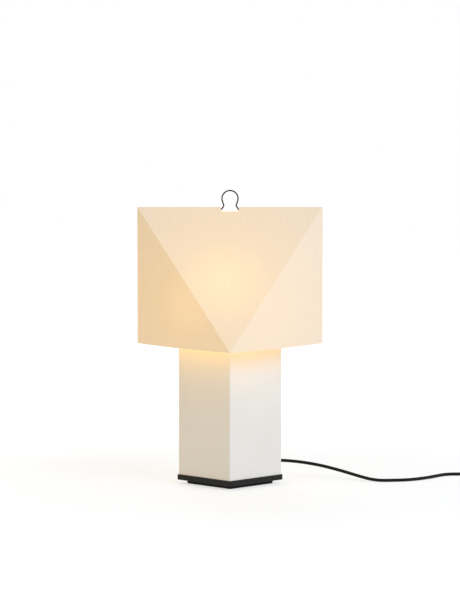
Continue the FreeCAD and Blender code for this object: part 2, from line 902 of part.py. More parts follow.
def strain_relief():
    """The bushing in the column's wall: a threaded stem, a flange and a tapered sleeve."""
    bore = cord_radius + cord_fit
    wall_out = column_side / 2
    stem = column_inner - gland_nut_height
    steps = [
        rz(bore, stem),
        rz(gland_stem_radius, stem),
        rz(gland_stem_radius, wall_out),
        rz(gland_flange_radius, wall_out),
        rz(gland_flange_radius, wall_out + gland_flange * 0.6),
        rz(gland_sleeve_root, wall_out + gland_flange),
        rz(gland_sleeve_tip, wall_out + gland_flange + gland_sleeve_length),
        rz(bore, wall_out + gland_flange + gland_sleeve_length),
    ]
    return lying(spun(steps))


def gland_nut():
    low = column_inner - gland_nut_height
    nut = hexagon(2 * gland_flange_radius, low, column_inner)
    return lying(nut.cut(cylinder(gland_stem_radius + gland_hole_gap, low, column_inner)))


def cord_groove():
    """The room for the cord through the anchor."""
    half = anchor_length / 2
    return rod_x(cord_radius + cord_fit, anchor_place - half, anchor_place + half, 0, cord_exit_height)


def at_anchor_screws(radius, low, high):
    return [cylinder(radius, low, high, anchor_place, side * anchor_screw_spacing / 2) for side in (-1, 1)]


def anchor_half(low, high, hole_bottom):
    """One half of the anchor: a rounded block with the cord's groove and two screw holes."""
    solid = rounded_block(anchor_length, anchor_width, low, high, anchor_corner, anchor_place)
    solid = solid.cut(cord_groove())
    for hole in at_anchor_screws(anchor_screw_radius + screw_clearance / 2, hole_bottom, high):
        solid = solid.cut(hole)
    return turned(solid)


def cord_anchor_block():
    """The block on the base plate that the cord lies on, just inside the wall."""
    high = cord_exit_height - anchor_gap
    return anchor_half(plate_top, high, high - anchor_screw_depth)


def cord_anchor_bar():
    """The bar that is screwed down on the cord."""
    low = cord_exit_height + anchor_gap
    return anchor_half(low, low + anchor_bar_height, low)


def cord_anchor_screws():
    top = cord_exit_height + anchor_gap + anchor_bar_height
    crown = top + anchor_screw_radius
    low = cord_exit_height - anchor_gap - anchor_screw_depth
    shanks = at_anchor_screws(anchor_screw_radius, low, top)
    heads = at_anchor_screws(2 * anchor_screw_radius, top, crown)
    slot = block(anchor_length, anchor_screw_radius / 2, top + anchor_screw_radius / 2, crown, anchor_place)
    slots = [moved(slot, y=side * anchor_screw_spacing / 2) for side in (-1, 1)]
    return [turned(shank.fuse(head).cut(cut)) for shank, head, cut in zip(shanks, heads, slots)]


def inner_lead():
    """The cord's own run inside the column, from the wall to the lampholder."""
    points = [
        Vector(column_side / 2 - cord_start, 0, cord_exit_height),
        Vector(0, 0, cord_exit_height),
        Vector(0, 0, saddle_top + nipple_above),
    ]
    return turned(rod_along(rounded_wire(points, [lead_bend]), cord_radius))


def cord_lead():
    """The free cord from inside the wall, over the floor, to the switch."""
    inside = (column_side / 2 - cord_start) * math.sqrt(0.5)
    entry = Vector(switch_x - switch_length / 2 + 3 * switch_wall, switch_y, switch_axis_height)
    points = [Vector(inside, inside, cord_exit_height)] + cord_route + [entry]
    radii = cord_radii(points)
    print("cord radii, in diameters:", [round(r / cord_radius / 2, 1) for r in radii])
    return rod_along(rounded_wire(points, radii), cord_radius)


def cord_link():
    """The stretch from the switch to the outer turn of the coil."""
    y = coil_y + coil_ring_outer - cord_radius
    points = [
        Vector(switch_x + switch_length / 2 - 3 * switch_wall, switch_y, switch_axis_height),
        Vector(switch_x + switch_length / 2 + coil_bite, switch_y, cord_radius + 1.0),
        Vector(coil_x - coil_bite, y, cord_radius),
    ]
    return rod_along(rounded_wire(points, cord_radii(points)), cord_radius)


def cord_coil():
    """The outer form of the neat coil in which the unseen length is put away."""
    solid = ring(coil_ring_outer, coil_ring_inner, 0, coil_height, coil_x, coil_y)
    return solid.makeFillet(cord_radius * 0.8, edges_at(solid, 0) + edges_at(solid, coil_height))


def cord_end():
    """The stretch from the upper layer of the coil to the plug."""
    y = coil_y - coil_ring_outer + cord_radius
    height = cord_radius + (coil_layers - 1) * layer_rise
    points = [
        Vector(coil_x - coil_bite, y, height),
        Vector(coil_x - 2 * coil_bite, y - 0.4, height - 0.5),
        Vector(plug_face_x + plug_length + plug_relief_length / 2, plug_y, plug_axis_height),
    ]
    return rod_along(rounded_wire(points, cord_radii(points)), cord_radius)


# ---------------------------------------------------------------- switch


def switch_bosses(low, high, radius):
    return [
        cylinder(radius, low, high, switch_x + side * switch_boss_x, switch_y + side * switch_boss_y)
        for side in (-1, 1)
    ]


def switch_cord_bore():
    half = switch_length / 2
    return rod_x(cord_radius + cord_fit, switch_x - half, switch_x + half, switch_y, switch_axis_height)


def switch_shell(low, high):
    return rounded_block(switch_length, switch_width, low, high, switch_corner, switch_x, switch_y)


def switch_room(low, high):
    length = switch_length - 2 * switch_wall
    width = switch_width - 2 * switch_wall
    return rounded_block(length, width, low, high, switch_corner - switch_wall, switch_x, switch_y)


def switch_base():
    """The lower half of the switch, with holes for its two screws."""
    solid = switch_shell(0, switch_axis_height)
    solid = solid.makeChamfer(switch_edge, edges_at(solid, 0))
    solid = solid.cut(switch_room(switch_wall, switch_axis_height))
    for boss in switch_bosses(switch_wall, switch_axis_height, switch_boss_radius):
        solid = solid.fuse(boss)
    for hole in switch_bosses(0, switch_axis_height, switch_screw_radius + screw_clearance / 2):
        solid = solid.cut(hole)
    for sink in switch_bosses(0, switch_screw_head_height, switch_screw_head + screw_clearance):
        solid = solid.cut(sink)
    return solid.cut(switch_cord_bore()).removeSplitter()


def switch_cover():
    """The upper half of the switch, with the window and the cheeks that the rocker turns in."""
    solid = switch_shell(switch_axis_height, switch_height)
    solid = solid.makeFillet(switch_edge, edges_at(solid, switch_height))
    solid = solid.cut(switch_room(switch_axis_height, switch_height - switch_wall))
    roof = switch_height - switch_wall
    low = rocker_pivot_height - 2 * trunnion_radius
    half_gap = (rocker_width + rocker_gap) / 2
    for side in (-1, 1):
        y = switch_y + side * (half_gap + cheek_thickness / 2)
        solid = solid.fuse(block(2 * cheek_half_length, cheek_thickness, low, roof, switch_x, y))
    for boss in switch_bosses(switch_axis_height, roof, switch_boss_radius):
        solid = solid.fuse(boss)
    for hole in switch_bosses(switch_axis_height, screw_end, switch_screw_radius + screw_clearance / 2):
        solid = solid.cut(hole)
    window_length = rocker_length + 2 * rocker_end_gap
    window = block(window_length, 2 * half_gap, switch_axis_height, switch_height, switch_x, switch_y)
    reach = half_gap + trunnion_reach
    pivot = rod_y(trunnion_radius + trunnion_clearance, reach, switch_x, switch_y, rocker_pivot_height)
    return solid.cut(window).cut(pivot).cut(switch_cord_bore()).removeSplitter()


def switch_screws():
    shank = switch_bosses(0, screw_end - screw_clearance, switch_screw_radius)
    head = switch_bosses(0, switch_screw_head_height, switch_screw_head)
    return [s.fuse(h) for s, h in zip(shank, head)]


def switch_rocker():
    """The rocker on its two trunnions. It rests with one end pressed, as when the lamp is on."""
    half = rocker_length / 2
    top = rocker_rise
    steps = [
        Vector(-half, 0, 0),
        Vector(-half, 0, top),
        (Vector(0, 0, top - rocker_dip), Vector(half, 0, top)),
        Vector(half, 0, 0),
        (Vector(0, 0, -rocker_belly), Vector(-half, 0, 0)),
    ]
    body = Part.Face(outline(steps)).extrude(Vector(0, rocker_width, 0))
    body = moved(body, y=-rocker_width / 2)
    pin = rod_y(trunnion_radius, rocker_width / 2 + trunnion_reach, 0, 0, 0)
    body = body.fuse(pin).removeSplitter()
    body.rotate(Vector(0, 0, 0), Vector(0, 1, 0), rocker_tilt)
    return moved(body, switch_x, switch_y, rocker_pivot_height)


# ---------------------------------------------------------------- plug


def plug_body():
    """The flat two-pin plug with its tapered cord relief. Its pins point to -X."""
    half = plug_width / 2
    rear = plug_rear_width / 2
    shoulder = plug_shoulder
    bend = Vector((shoulder + plug_length) / 2, (half + rear) / 2 + 1.5, 0)
    steps = [
        Vector(0, -half, 0),
        Vector(shoulder, -half, 0),
        (Vector(bend.x, -bend.y, 0), Vector(plug_length, -rear, 0)),
        Vector(plug_length, rear, 0),
        (bend, Vector(shoulder, half, 0)),
        Vector(0, half, 0),
    ]
    plan = Part.Face(outline(steps)).extrude(Vector(0, 0, plug_thickness))
    flat = plug_flat_width / 2
    middle = plug_thickness / 2
    side = middle * 0.45
    end_view = Part.makePolygon(
        [
            Vector(0, -half, middle - side),
            Vector(0, -flat, 0),
            Vector(0, flat, 0),
            Vector(0, half, middle - side),
            Vector(0, half, middle + side),
            Vector(0, flat, plug_thickness),
            Vector(0, -flat, plug_thickness),
            Vector(0, -half, middle + side),
            Vector(0, -half, middle - side),
        ]
    )
    body = plan.common(Part.Face(end_view).extrude(Vector(plug_length, 0, 0)))
    face = [e for e in body.Edges if e.BoundBox.XMax < 1e-6]
    body = body.makeChamfer(plug_edge, face)
    root = Vector(plug_length, 0, middle)
    relief = Part.makeCone(plug_relief_root, plug_relief_tip, plug_relief_length, root, Vector(1, 0, 0))
    end = plug_length + plug_relief_length
    bore = rod_x(cord_radius + cord_fit, end - plug_relief_length / 2, end, 0, middle)
    body = body.fuse(relief).cut(bore)
    for sign in (-1, 1):
        body = body.cut(rod_x(pin_core_radius, 0, pin_root, sign * pin_spacing / 2, middle))
    return moved(body, plug_face_x, plug_y)


def plug_pins():
    """Two brass pins: a thick bare tip and a thinner core that runs back into the plug."""
    tip = plug_face_x - pin_length
    step = plug_face_x - pin_sleeve_length
    pins = []
    for sign in (-1, 1):
        y = plug_y + sign * pin_spacing / 2
        bare = rod_x(pin_radius, tip, step, y, plug_axis_height)
        bare = bare.makeFillet(pin_tip_round, [e for e in bare.Edges if e.BoundBox.XMax < (tip + step) / 2])
        core = rod_x(pin_core_radius, step, plug_face_x + pin_root, y, plug_axis_height)
        pins.append(bare.fuse(core))
    return pins


def plug_pin_sleeves():
    """The plastic sleeves on the pins next to the plug's face."""
    step = plug_face_x - pin_sleeve_length
    sleeves = []
    for sign in (-1, 1):
        y = plug_y + sign * pin_spacing / 2
        outer = rod_x(pin_radius, step, plug_face_x, y, plug_axis_height)
        sleeves.append(outer.cut(rod_x(pin_core_radius, step, plug_face_x, y, plug_axis_height)))
    return sleeves


# ---------------------------------------------------------------- all parts

os.makedirs("parts", exist_ok=True)

save("foot_pad", foot_pad())
save("base_plate", base_plate())
save("base_screws", *base_screws())
save("column_shell", column_shell())
save("rivet_nuts", *rivet_nuts())
save("column_cap", column_cap())
save("cap_screws", *cap_screws())

save("shade_sheet", *shade_sheet())
save("ridge_clip", ridge_clip())
save("harp_left", harp(-1))
save("harp_right", harp(1))
save("harp_saddle", harp_saddle())
save("spreader", spreader())
save("spreader_tips", *spreader_tips())

save("threaded_nipple", threaded_nipple())
save("nipple_washer", nipple_washer())
save("nipple_nut", nipple_nut())
save("holder_cap", holder_cap())
save("holder_insert", holder_insert())
save("terminal_screws", *terminal_screws())
save("centre_contact", centre_contact())
save("thread_sleeve", thread_sleeve())
save("holder_shell", holder_shell())
save("shade_ring", shade_ring())

save("bulb_contact", bulb_contact())
save("bulb_insulator", bulb_insulator())
save("bulb_screw_cap", bulb_screw_cap())
save("bulb_globe", bulb_globe())
save("bulb_stem", bulb_stem())
save("bulb_filaments", *bulb_filaments())

save("strain_relief", strain_relief())
save("gland_nut", gland_nut())
save("cord_anchor_block", cord_anchor_block())
save("cord_anchor_bar", cord_anchor_bar())
save("cord_anchor_screws", *cord_anchor_screws())
save("inner_lead", inner_lead())
save("cord_lead", cord_lead())
save("cord_link", cord_link())
save("cord_coil", cord_coil())
save("cord_end", cord_end())

save("switch_base", switch_base())
save("switch_cover", switch_cover())
save("switch_screws", *switch_screws())
save("switch_rocker", switch_rocker())

save("plug_body", plug_body())
save("plug_pins", *plug_pins())
save("plug_pin_sleeves", *plug_pin_sleeves())
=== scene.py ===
# %% [markdown]
# # A folded paper table lamp
# A square metal column stands on a black foot and carries a shade that is folded from one stiff sheet.
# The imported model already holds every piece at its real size, so this lesson adds what a drawing
# cannot: the paper with its glow, the braided cord, and the finish of every surface. All lengths are
# metres, in the frame of the model: +Z is up and -Y is towards the viewer.

import json
import math

import bmesh
import bpy
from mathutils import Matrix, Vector


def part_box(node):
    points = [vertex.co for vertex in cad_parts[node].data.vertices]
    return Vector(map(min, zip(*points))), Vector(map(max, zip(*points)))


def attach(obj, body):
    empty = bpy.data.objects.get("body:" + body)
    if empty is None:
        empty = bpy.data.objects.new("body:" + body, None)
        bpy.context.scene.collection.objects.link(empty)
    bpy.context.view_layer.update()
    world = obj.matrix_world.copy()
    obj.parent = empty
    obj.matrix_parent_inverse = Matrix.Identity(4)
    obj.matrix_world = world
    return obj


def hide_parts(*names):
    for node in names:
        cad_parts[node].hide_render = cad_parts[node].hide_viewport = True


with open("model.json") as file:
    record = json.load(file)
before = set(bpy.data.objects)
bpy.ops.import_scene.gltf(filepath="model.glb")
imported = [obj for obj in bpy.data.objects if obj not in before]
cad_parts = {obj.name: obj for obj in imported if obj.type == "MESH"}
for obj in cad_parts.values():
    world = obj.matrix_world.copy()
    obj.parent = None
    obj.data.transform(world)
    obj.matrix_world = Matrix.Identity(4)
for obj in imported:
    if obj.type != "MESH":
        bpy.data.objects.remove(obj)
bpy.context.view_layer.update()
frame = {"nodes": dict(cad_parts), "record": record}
nodes = frame["nodes"]
mm = 0.001

# %% [markdown]
# The photograph was taken with a long lens from a little above the lamp. Its horizontal edges give the
# camera's height and distance. A long side of 613 pixels and a focal length of 4426 pixels are the same
# as a 260 mm lens on a 36 mm frame.

# %% Camera
photo_height = 613
focal_pixels = 4426
camera_distance = 8.1129
camera_pitch = math.radians(5.609)
aim = Vector((0, 0, 0.3269))

lens_data = bpy.data.cameras.new("camera")
lens_data.sensor_width = 36
lens_data.lens = focal_pixels * lens_data.sensor_width / photo_height
lens_data.clip_end = 200
camera = bpy.data.objects.new("camera", lens_data)
bpy.context.scene.collection.objects.link(camera)
back = Vector((0, -math.cos(camera_pitch), math.sin(camera_pitch)))
camera.location = aim + back * camera_distance
camera.rotation_euler = (-back).to_track_quat("-Z", "Y").to_euler()
bpy.context.scene.camera = camera
print("lens in mm:", round(lens_data.lens, 1), "camera at", [round(c, 3) for c in camera.location])

# %% [markdown]
# The mains cord is a fixed length of something flexible. Its route is the list of points that the model
# uses: straight out of the bushing, down to the floor, in loose bends to the switch, and on to a neat
# coil that lies just outside the picture, where the length that nobody sees is put away. A quadratic
# NURBS spline that is steered by such points bends as a real cord does. The coil's turns come from a
# loop: three turns inwards on the floor and the rest outwards on top of them.

# %% Route of the cord
cord_radius = 3 * mm
route = [
    (0.0414, 0.0414, 0.0330),
    (0.0770, 0.0770, 0.0330),
    (0.1180, 0.0985, 0.0286),
    (0.1640, 0.1010, 0.0212),
    (0.2060, 0.0760, 0.0135),
    (0.2400, 0.0410, 0.0072),
    (0.2680, 0.0175, 0.0030),
    (0.3030, 0.0185, 0.0030),
    (0.3380, 0.0290, 0.0030),
    (0.3720, 0.0620, 0.0030),
    (0.4010, 0.1040, 0.0030),
    (0.4370, 0.1045, 0.0030),
    (0.4760, 0.1065, 0.0065),
    (0.5260, 0.1065, 0.0065),
    (0.5460, 0.1065, 0.0040),
]
coil_low, coil_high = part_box("cord_coil")
coil_centre = (coil_low + coil_high) / 2
outer_turn = (coil_high.x - coil_low.x) / 2 - cord_radius
turn_spacing = 6.2 * mm
layer_rise = coil_high.z - coil_low.z - 2 * cord_radius
turns_wide = 3
step = math.radians(30)
start_angle = math.radians(105)
end_angle = math.radians(-90 - 5 * 360)
shift_steps = 2


def coil_point(angle, radius, height):
    """A control point of the coil, set out so that the spline itself has the wanted radius."""
    reach = radius * 4 / (3 + math.cos(step))
    x = coil_centre.x + reach * math.cos(angle)
    y = coil_centre.y + reach * math.sin(angle)
    return (x, y, height)


steps_per_turn = round(2 * math.pi / step)
count = round((start_angle - end_angle) / step)
for n in range(count + 1):
    turn, place = divmod(n, steps_per_turn)
    shift = max(0, place - (steps_per_turn - shift_steps)) / shift_steps
    inward = min(turn + shift, turns_wide - 1)
    outward = max(0, turn + shift - turns_wide)
    radius = outer_turn - (inward - outward) * turn_spacing
    climb = min(max((n - turns_wide * steps_per_turn + shift_steps) / shift_steps, 0), 1)
    route.append(coil_point(start_angle - n * step, radius, cord_radius + climb * layer_rise))

plug_low, plug_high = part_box("plug_body")
plug_axis = (plug_low + plug_high) / 2
depth_in_plug = 8.5 * mm
route.append((0.5630, plug_axis.y, coil_high.z - cord_radius))
route.append((0.5500, plug_axis.y, plug_axis.z + 1 * mm))
route.append((plug_high.x - depth_in_plug, plug_axis.y, plug_axis.z))

line_data = bpy.data.curves.new("cord_line", "CURVE")
line_data.dimensions = "3D"
spline = line_data.splines.new("NURBS")
spline.points.add(len(route) - 1)
for point, place in zip(spline.points, route):
    point.co = (*place, 1)
spline.order_u = 3
spline.use_endpoint_u = True
line_data.resolution_u = 16
line = bpy.data.objects.new("cord_line", line_data)
bpy.context.scene.collection.objects.link(line)
line_mesh = bpy.data.meshes.new_from_object(line)
path = [v.co.copy() for v in line_mesh.vertices]
bpy.data.objects.remove(line)
bpy.data.meshes.remove(line_mesh)

# %% [markdown]
# A tube along that line would do for a plain cord. This one is braided, and the pattern of a braid has
# to run evenly along it, so the tube is a mesh with its own UV map: U counts millimetres along the
# cord, and V goes once round it. The rings of the tube are carried along the line without twisting.

# %% Helpers for tubes
tube_sides = 16
ring_spacing = 1.6 * mm


def resampled(points, spacing):
    """Points at even steps along a line."""
    steps = [0.0]
    for before, after in zip(points, points[1:]):
        steps.append(steps[-1] + (after - before).length)
    number = max(2, round(steps[-1] / spacing))
    even, at = [], 0
    for n in range(number + 1):
        target = steps[-1] * n / number
        while at < len(points) - 2 and steps[at + 1] < target:
            at += 1
        span = steps[at + 1] - steps[at]
        even.append(points[at].lerp(points[at + 1], (target - steps[at]) / span if span else 0))
    return even


def tube_mesh(name, points, radius, sides):
    """A closed tube round a line, with a UV map in millimetres along and turns round."""
    mesh = bmesh.new()
    layer = mesh.loops.layers.uv.new("braid")
    headings = [(b - a).normalized() for a, b in zip(points, points[1:])]
    between = [(a + b).normalized() for a, b in zip(headings, headings[1:])]
    headings = [headings[0], *between, headings[-1]]
    across = headings[0].orthogonal().normalized()
    rings, along = [], [0.0]
    for n, (place, heading) in enumerate(zip(points, headings)):
        if n:
            along.append(along[-1] + (place - points[n - 1]).length)
        across = (across - heading * across.dot(heading)).normalized()
        side = heading.cross(across)
        angles = [2 * math.pi * k / sides for k in range(sides)]
        spokes = [across * math.cos(angle) + side * math.sin(angle) for angle in angles]
        rings.append([mesh.verts.new(place + spoke * radius) for spoke in spokes])
    for n in range(len(rings) - 1):
        for k in range(sides):
            after = (k + 1) % sides
            face = mesh.faces.new((rings[n][k], rings[n][after], rings[n + 1][after], rings[n + 1][k]))
            corners = ((n, k), (n, k + 1), (n + 1, k + 1), (n + 1, k))
            for loop, (ring, column) in zip(face.loops, corners):
                loop[layer].uv = (along[ring] / mm, column / sides)
    mesh.faces.new(reversed(rings[0]))
    mesh.faces.new(rings[-1])
    for face in mesh.faces:
        face.smooth = len(face.verts) == 4
    data = bpy.data.meshes.new(name)
    mesh.to_mesh(data)
    mesh.free()
    made = bpy.data.objects.new(name, data)
    bpy.context.scene.collection.objects.link(made)
    return made


# %% The cord
cord = tube_mesh("cord", resampled(path, ring_spacing), cord_radius, tube_sides)
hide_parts("cord_lead", "cord_link", "cord_coil", "cord_end")
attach(cord, "base")
print("cord faces:", len(cord.data.polygons))

# %% [markdown]
# The switch and the plug belong to the cord.

on_the_cord = ["switch_base", "switch_cover", "switch_rocker", "switch_screws"]
on_the_cord += ["plug_body", "plug_pins", "plug_pin_sleeves"]

# %% [markdown]
# The shade is one sheet of stiff paper: an upright square tube whose top is pressed flat into a ridge.
# That leaves two leaning triangles, in front and behind, and four upright ones. The same folding can be
# done to a block: it starts as a cube turned with one edge to the viewer, and two slanting cuts take
# off what the pressed top no longer fills.

# %% Helpers for modelling
def add_primitive(add, name, scale=(1, 1, 1), **size_and_place):
    """Add a primitive with nothing else selected, put its place into its mesh, and name it."""
    bpy.ops.object.select_all(action="DESELECT")
    add(**size_and_place)
    piece = bpy.context.object
    # The operator for a plane ignores its own scale setting, so the object is scaled instead.
    piece.scale = scale
    bpy.ops.object.transform_apply(location=True, rotation=True, scale=True)
    piece.name = piece.data.name = name
    return piece


def edit(piece):
    """Open one piece for editing, with all of it selected."""
    bpy.ops.object.select_all(action="DESELECT")
    piece.select_set(True)
    bpy.context.view_layer.objects.active = piece
    bpy.ops.object.mode_set(mode="EDIT")
    bpy.ops.mesh.select_all(action="SELECT")


def pick(piece, kind, rule):
    """In edit mode, select the verts, edges or faces that a rule is true for, and count them."""
    bpy.ops.mesh.select_mode(type={"verts": "VERT", "edges": "EDGE", "faces": "FACE"}[kind])
    bpy.ops.mesh.select_all(action="DESELECT")
    mesh = bmesh.from_edit_mesh(piece.data)
    chosen = [item for item in getattr(mesh, kind) if rule(item)]
    for item in chosen:
        item.select_set(True)
    mesh.select_flush_mode()
    bmesh.update_edit_mesh(piece.data)
    return len(chosen)


def close(piece):
    """Leave edit mode, with the piece still active."""
    bpy.context.view_layer.objects.active = piece
    bpy.ops.object.mode_set(mode="OBJECT")


def modify(piece, kind, **settings):
    """Give a piece a modifier with these settings, and apply it."""
    modifier = piece.modifiers.new(kind.lower(), kind)
    for name, value in settings.items():
        setattr(modifier, name, value)
    bpy.ops.object.select_all(action="DESELECT")
    bpy.context.view_layer.objects.active = piece
    bpy.ops.object.modifier_apply(modifier=modifier.name)


# %% The pressed block
merge_distance = 0.05 * mm
block_cuts = 27
shade_low, shade_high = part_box("shade_sheet")
shade_half = shade_high.x
shade_height = shade_high.z - shade_low.z
shade_side = shade_half * math.sqrt(2)
shade = add_primitive(
    bpy.ops.mesh.primitive_cube_add,
    "paper_shade",
    size=1,
    location=(0, 0, (shade_low.z + shade_high.z) / 2),
    rotation=(0, 0, math.radians(45)),
    scale=(shade_side, shade_side, shade_height),
)
edit(shade)
for toward in (-1, 1):
    bpy.ops.mesh.select_all(action="SELECT")
    bpy.ops.mesh.bisect(
        plane_co=(0, 0, shade_high.z),
        plane_no=(0, toward * shade_height, shade_half),
        use_fill=True,
        clear_outer=True,
    )
bpy.ops.mesh.select_all(action="SELECT")
bpy.ops.mesh.remove_doubles(threshold=merge_distance)
bpy.ops.mesh.select_all(action="SELECT")
bpy.ops.mesh.subdivide(number_cuts=block_cuts)
close(shade)
print("side in mm:", round(shade_side / mm, 1), "faces:", len(shade.data.polygons))

# %% [markdown]
# Real paper is never quite flat. Each upright panel bellies out a little between its corner and its
# fold. Paper bends but doesn't stretch, so the belly is part of a cone with its tip at the end of the
# ridge: nothing there, most at the middle of the lower edge. The lower edge hangs lower there too,
# which shows in the photograph as a slight bow. The block was divided finely first, so that it can
# bend. Points close to the ridge, and points that don't lie in an upright panel, stay where they are.

# %% Belly of the upright panels
belly = 4.0 * mm
bow = 0.9 * mm
at_ridge = 0.001
off_panel = 0.01 * mm


def give_belly(piece):
    """Bend what lies in the upright panels outwards, most at the middle of their lower edge."""
    for vertex in piece.data.vertices:
        x, y, z = vertex.co
        down = (shade_high.z - z) / shade_height
        panel_y = shade_half - abs(x)
        if down < at_ridge or abs(abs(y) - panel_y) > off_panel:
            continue
        across = min(panel_y / (shade_half * down), 1)
        share = down * math.sin(math.pi * across)
        outward = Vector((math.copysign(1, x), math.copysign(1, y), 0)).normalized()
        vertex.co += outward * belly * share
        vertex.co.z -= bow * share * down


give_belly(shade)

# %% [markdown]
# A notch is punched through both leaning panels at the middle of the ridge, so that the clip can reach
# the frame inside. The punch is a block with its two lower edges cut off at a slant. It is taken away
# with a Boolean while the shade is still a closed block, because a Boolean needs closed shapes. The
# faces that the punch leaves inside the notch, and the block's bottom, are then deleted, because the
# sheet is open there.

# %% Notch in the ridge
notch_half_top = 16.4 * mm
notch_half_bottom = 12.8 * mm
notch_depth = 9 * mm
notch_corner = 2.4 * mm
punch_length = 80 * mm
slack = 0.1 * mm
punch = add_primitive(
    bpy.ops.mesh.primitive_cube_add,
    "punch",
    size=1,
    location=(0, 0, shade_high.z),
    scale=(2 * notch_half_top, punch_length, 2 * notch_depth),
)
edit(punch)
corner_plane = Vector((notch_half_top, 0, shade_high.z - notch_depth + notch_corner))
for toward in (-1, 1):
    bpy.ops.mesh.select_all(action="SELECT")
    bpy.ops.mesh.bisect(
        plane_co=(toward * corner_plane.x, 0, corner_plane.z),
        plane_no=(toward * notch_corner, 0, notch_half_bottom - notch_half_top),
        use_fill=True,
        clear_outer=True,
    )
close(punch)
modify(shade, "BOOLEAN", operation="DIFFERENCE", object=punch, solver="EXACT")
bpy.data.objects.remove(punch)


def below_leaning_panels(place):
    """How far a point lies under the nearer leaning panel, inside the block."""
    lean = math.hypot(shade_height, shade_half)
    return ((shade_high.z - place.z) * shade_half - abs(place.y) * shade_height) / lean


def left_by_punch(face):
    """True for the faces at the sides and the floor of the notch, inside the block."""
    middle = face.calc_center_median()
    high_enough = middle.z > shade_high.z - notch_depth - slack
    near_enough = abs(middle.x) < notch_half_top + slack
    return high_enough and near_enough and below_leaning_panels(middle) > slack / 2


edit(shade)
in_notch = pick(shade, "faces", left_by_punch)
bpy.ops.mesh.delete(type="FACE")
at_bottom = pick(shade, "faces", lambda face: face.normal.z < -0.9)
bpy.ops.mesh.delete(type="FACE")
print("faces taken out of the notch and the bottom:", in_notch, at_bottom)

# %% [markdown]
# A scored fold in thick paper is a narrow round edge, not a knife edge. A bevel of half a millimetre
# gives it that, and catches a thin line of light. The wall is then thickened inwards with Solidify,
# whose second material goes on the inside.

# %% Folds and wall
sheet_thickness = 0.7 * mm
fold_width = 0.55 * mm
clear_angle = math.radians(15)


def is_fold(edge):
    """True for folds and corners, the edges where two panels meet at a clear angle."""
    return len(edge.link_faces) == 2 and edge.calc_face_angle() > clear_angle


folds = pick(shade, "edges", is_fold)
bpy.ops.mesh.bevel(offset=fold_width, segments=2, affect="EDGES")
bpy.ops.mesh.select_all(action="SELECT")
bpy.ops.mesh.normals_make_consistent(inside=False)
close(shade)
shade.data.materials.append(None)
shade.data.materials.append(None)
modify(shade, "SOLIDIFY", thickness=sheet_thickness, offset=-1, use_even_offset=True, material_offset=1)
print("fold edges:", folds, "shade faces:", len(shade.data.polygons))

# %% [markdown]
# The sheet is closed with glue. At both ends of the ridge a narrow flap is folded in behind the back
# panel, and it runs from the lower edge to the tip. Each flap starts as an upright plane on the face
# of its panel, is cut along the same slant as the block, takes the same belly, and is then sunk by the
# thickness of the sheet with Shrink/Fatten, so that it lies flat against the inside.

# %% Seam flaps
seam_flap_width = 12 * mm
glue_gap = 0.05 * mm
flap_cuts = 11
flaps = []
for side, toward in {"right": 1, "left": -1}.items():
    corner = Vector((toward * shade_half, 0, (shade_low.z + shade_high.z) / 2))
    along_panel = Vector((-toward, 1, 0)).normalized()
    flap = add_primitive(
        bpy.ops.mesh.primitive_plane_add,
        "seam_flap_" + side,
        size=1,
        location=corner + along_panel * (sheet_thickness + seam_flap_width / 2),
        rotation=(math.radians(90), 0, math.radians(180 - 45 * toward)),
        scale=(seam_flap_width, shade_height, 1),
    )
    edit(flap)
    bpy.ops.mesh.bisect(
        plane_co=(0, 0, shade_high.z),
        plane_no=(0, shade_height, shade_half),
        clear_outer=True,
    )
    bpy.ops.mesh.select_all(action="SELECT")
    bpy.ops.mesh.subdivide(number_cuts=flap_cuts)
    close(flap)
    give_belly(flap)
    edit(flap)
    bpy.ops.transform.shrink_fatten(value=-(sheet_thickness + glue_gap))
    close(flap)
    modify(flap, "SOLIDIFY", thickness=sheet_thickness, offset=-1)
    flaps.append(flap)
print("seam flaps:", {flap.name: len(flap.data.polygons) for flap in flaps})

# %% Put the shade on its body
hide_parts("shade_sheet")
for piece in (shade, *flaps):
    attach(piece, "shade")

# %% [markdown]
# Every finish is built from nodes. Colours are written as the sRGB hex values that one reads off a
# picture, and one function turns them to the linear numbers that Blender calculates with. One more
# function adds a node with its settings and links, so that a material reads as a short list.

# %% Helpers for materials
def colour(hexadecimal):
    """The linear colour of an sRGB hex value such as "d4c7b6"."""
    channels = [int(hexadecimal[n : n + 2], 16) / 255 for n in (0, 2, 4)]
    linear = [c / 12.92 if c <= 0.04045 else ((c + 0.055) / 1.055) ** 2.4 for c in channels]
    return (*linear, 1)


def add(tree, kind, inputs=(), stops=(), **settings):
    """Add a node: settings by name, inputs as numbers, colours or other nodes' outputs, ramp stops."""
    node = tree.nodes.new(kind)
    for name, value in settings.items():
        setattr(node, name, value)
    for number, (position, value) in enumerate(stops):
        if number > 1:
            node.color_ramp.elements.new(position)
        node.color_ramp.elements[number].position = position
        node.color_ramp.elements[number].color = value
    for socket, value in dict(inputs).items():
        if isinstance(value, bpy.types.NodeSocket):
            tree.links.new(value, node.inputs[socket])
        else:
            node.inputs[socket].default_value = value
    return node


def new_finish(name, **values):
    """A new material: its node tree and its Principled shader, with plain values on the sockets."""
    material = bpy.data.materials.new(name)
    material.use_nodes = True
    tree = material.node_tree
    shader = tree.nodes["Principled BSDF"]
    for socket, value in values.items():
        shader.inputs[socket.replace("_", " ")].default_value = value
    return material, tree, shader


def per_mm(size):
    """The scale that makes a pattern repeat every so many millimetres, on coordinates in metres."""
    return 1 / (size * mm)


finishes = {}

# %% [markdown]
# Powder coat is sprayed on as dust and melted in an oven. It flows into a skin with a very fine, soft
# unevenness, and it is never glossy or quite matt. The column's is a warm white. A fine noise gives the
# unevenness as a bump, and a broad, faint one stops the big faces from looking like paper cut-outs. The
# real grain is about 0.3 mm, too fine to show here, so it is drawn at 1.5 mm.

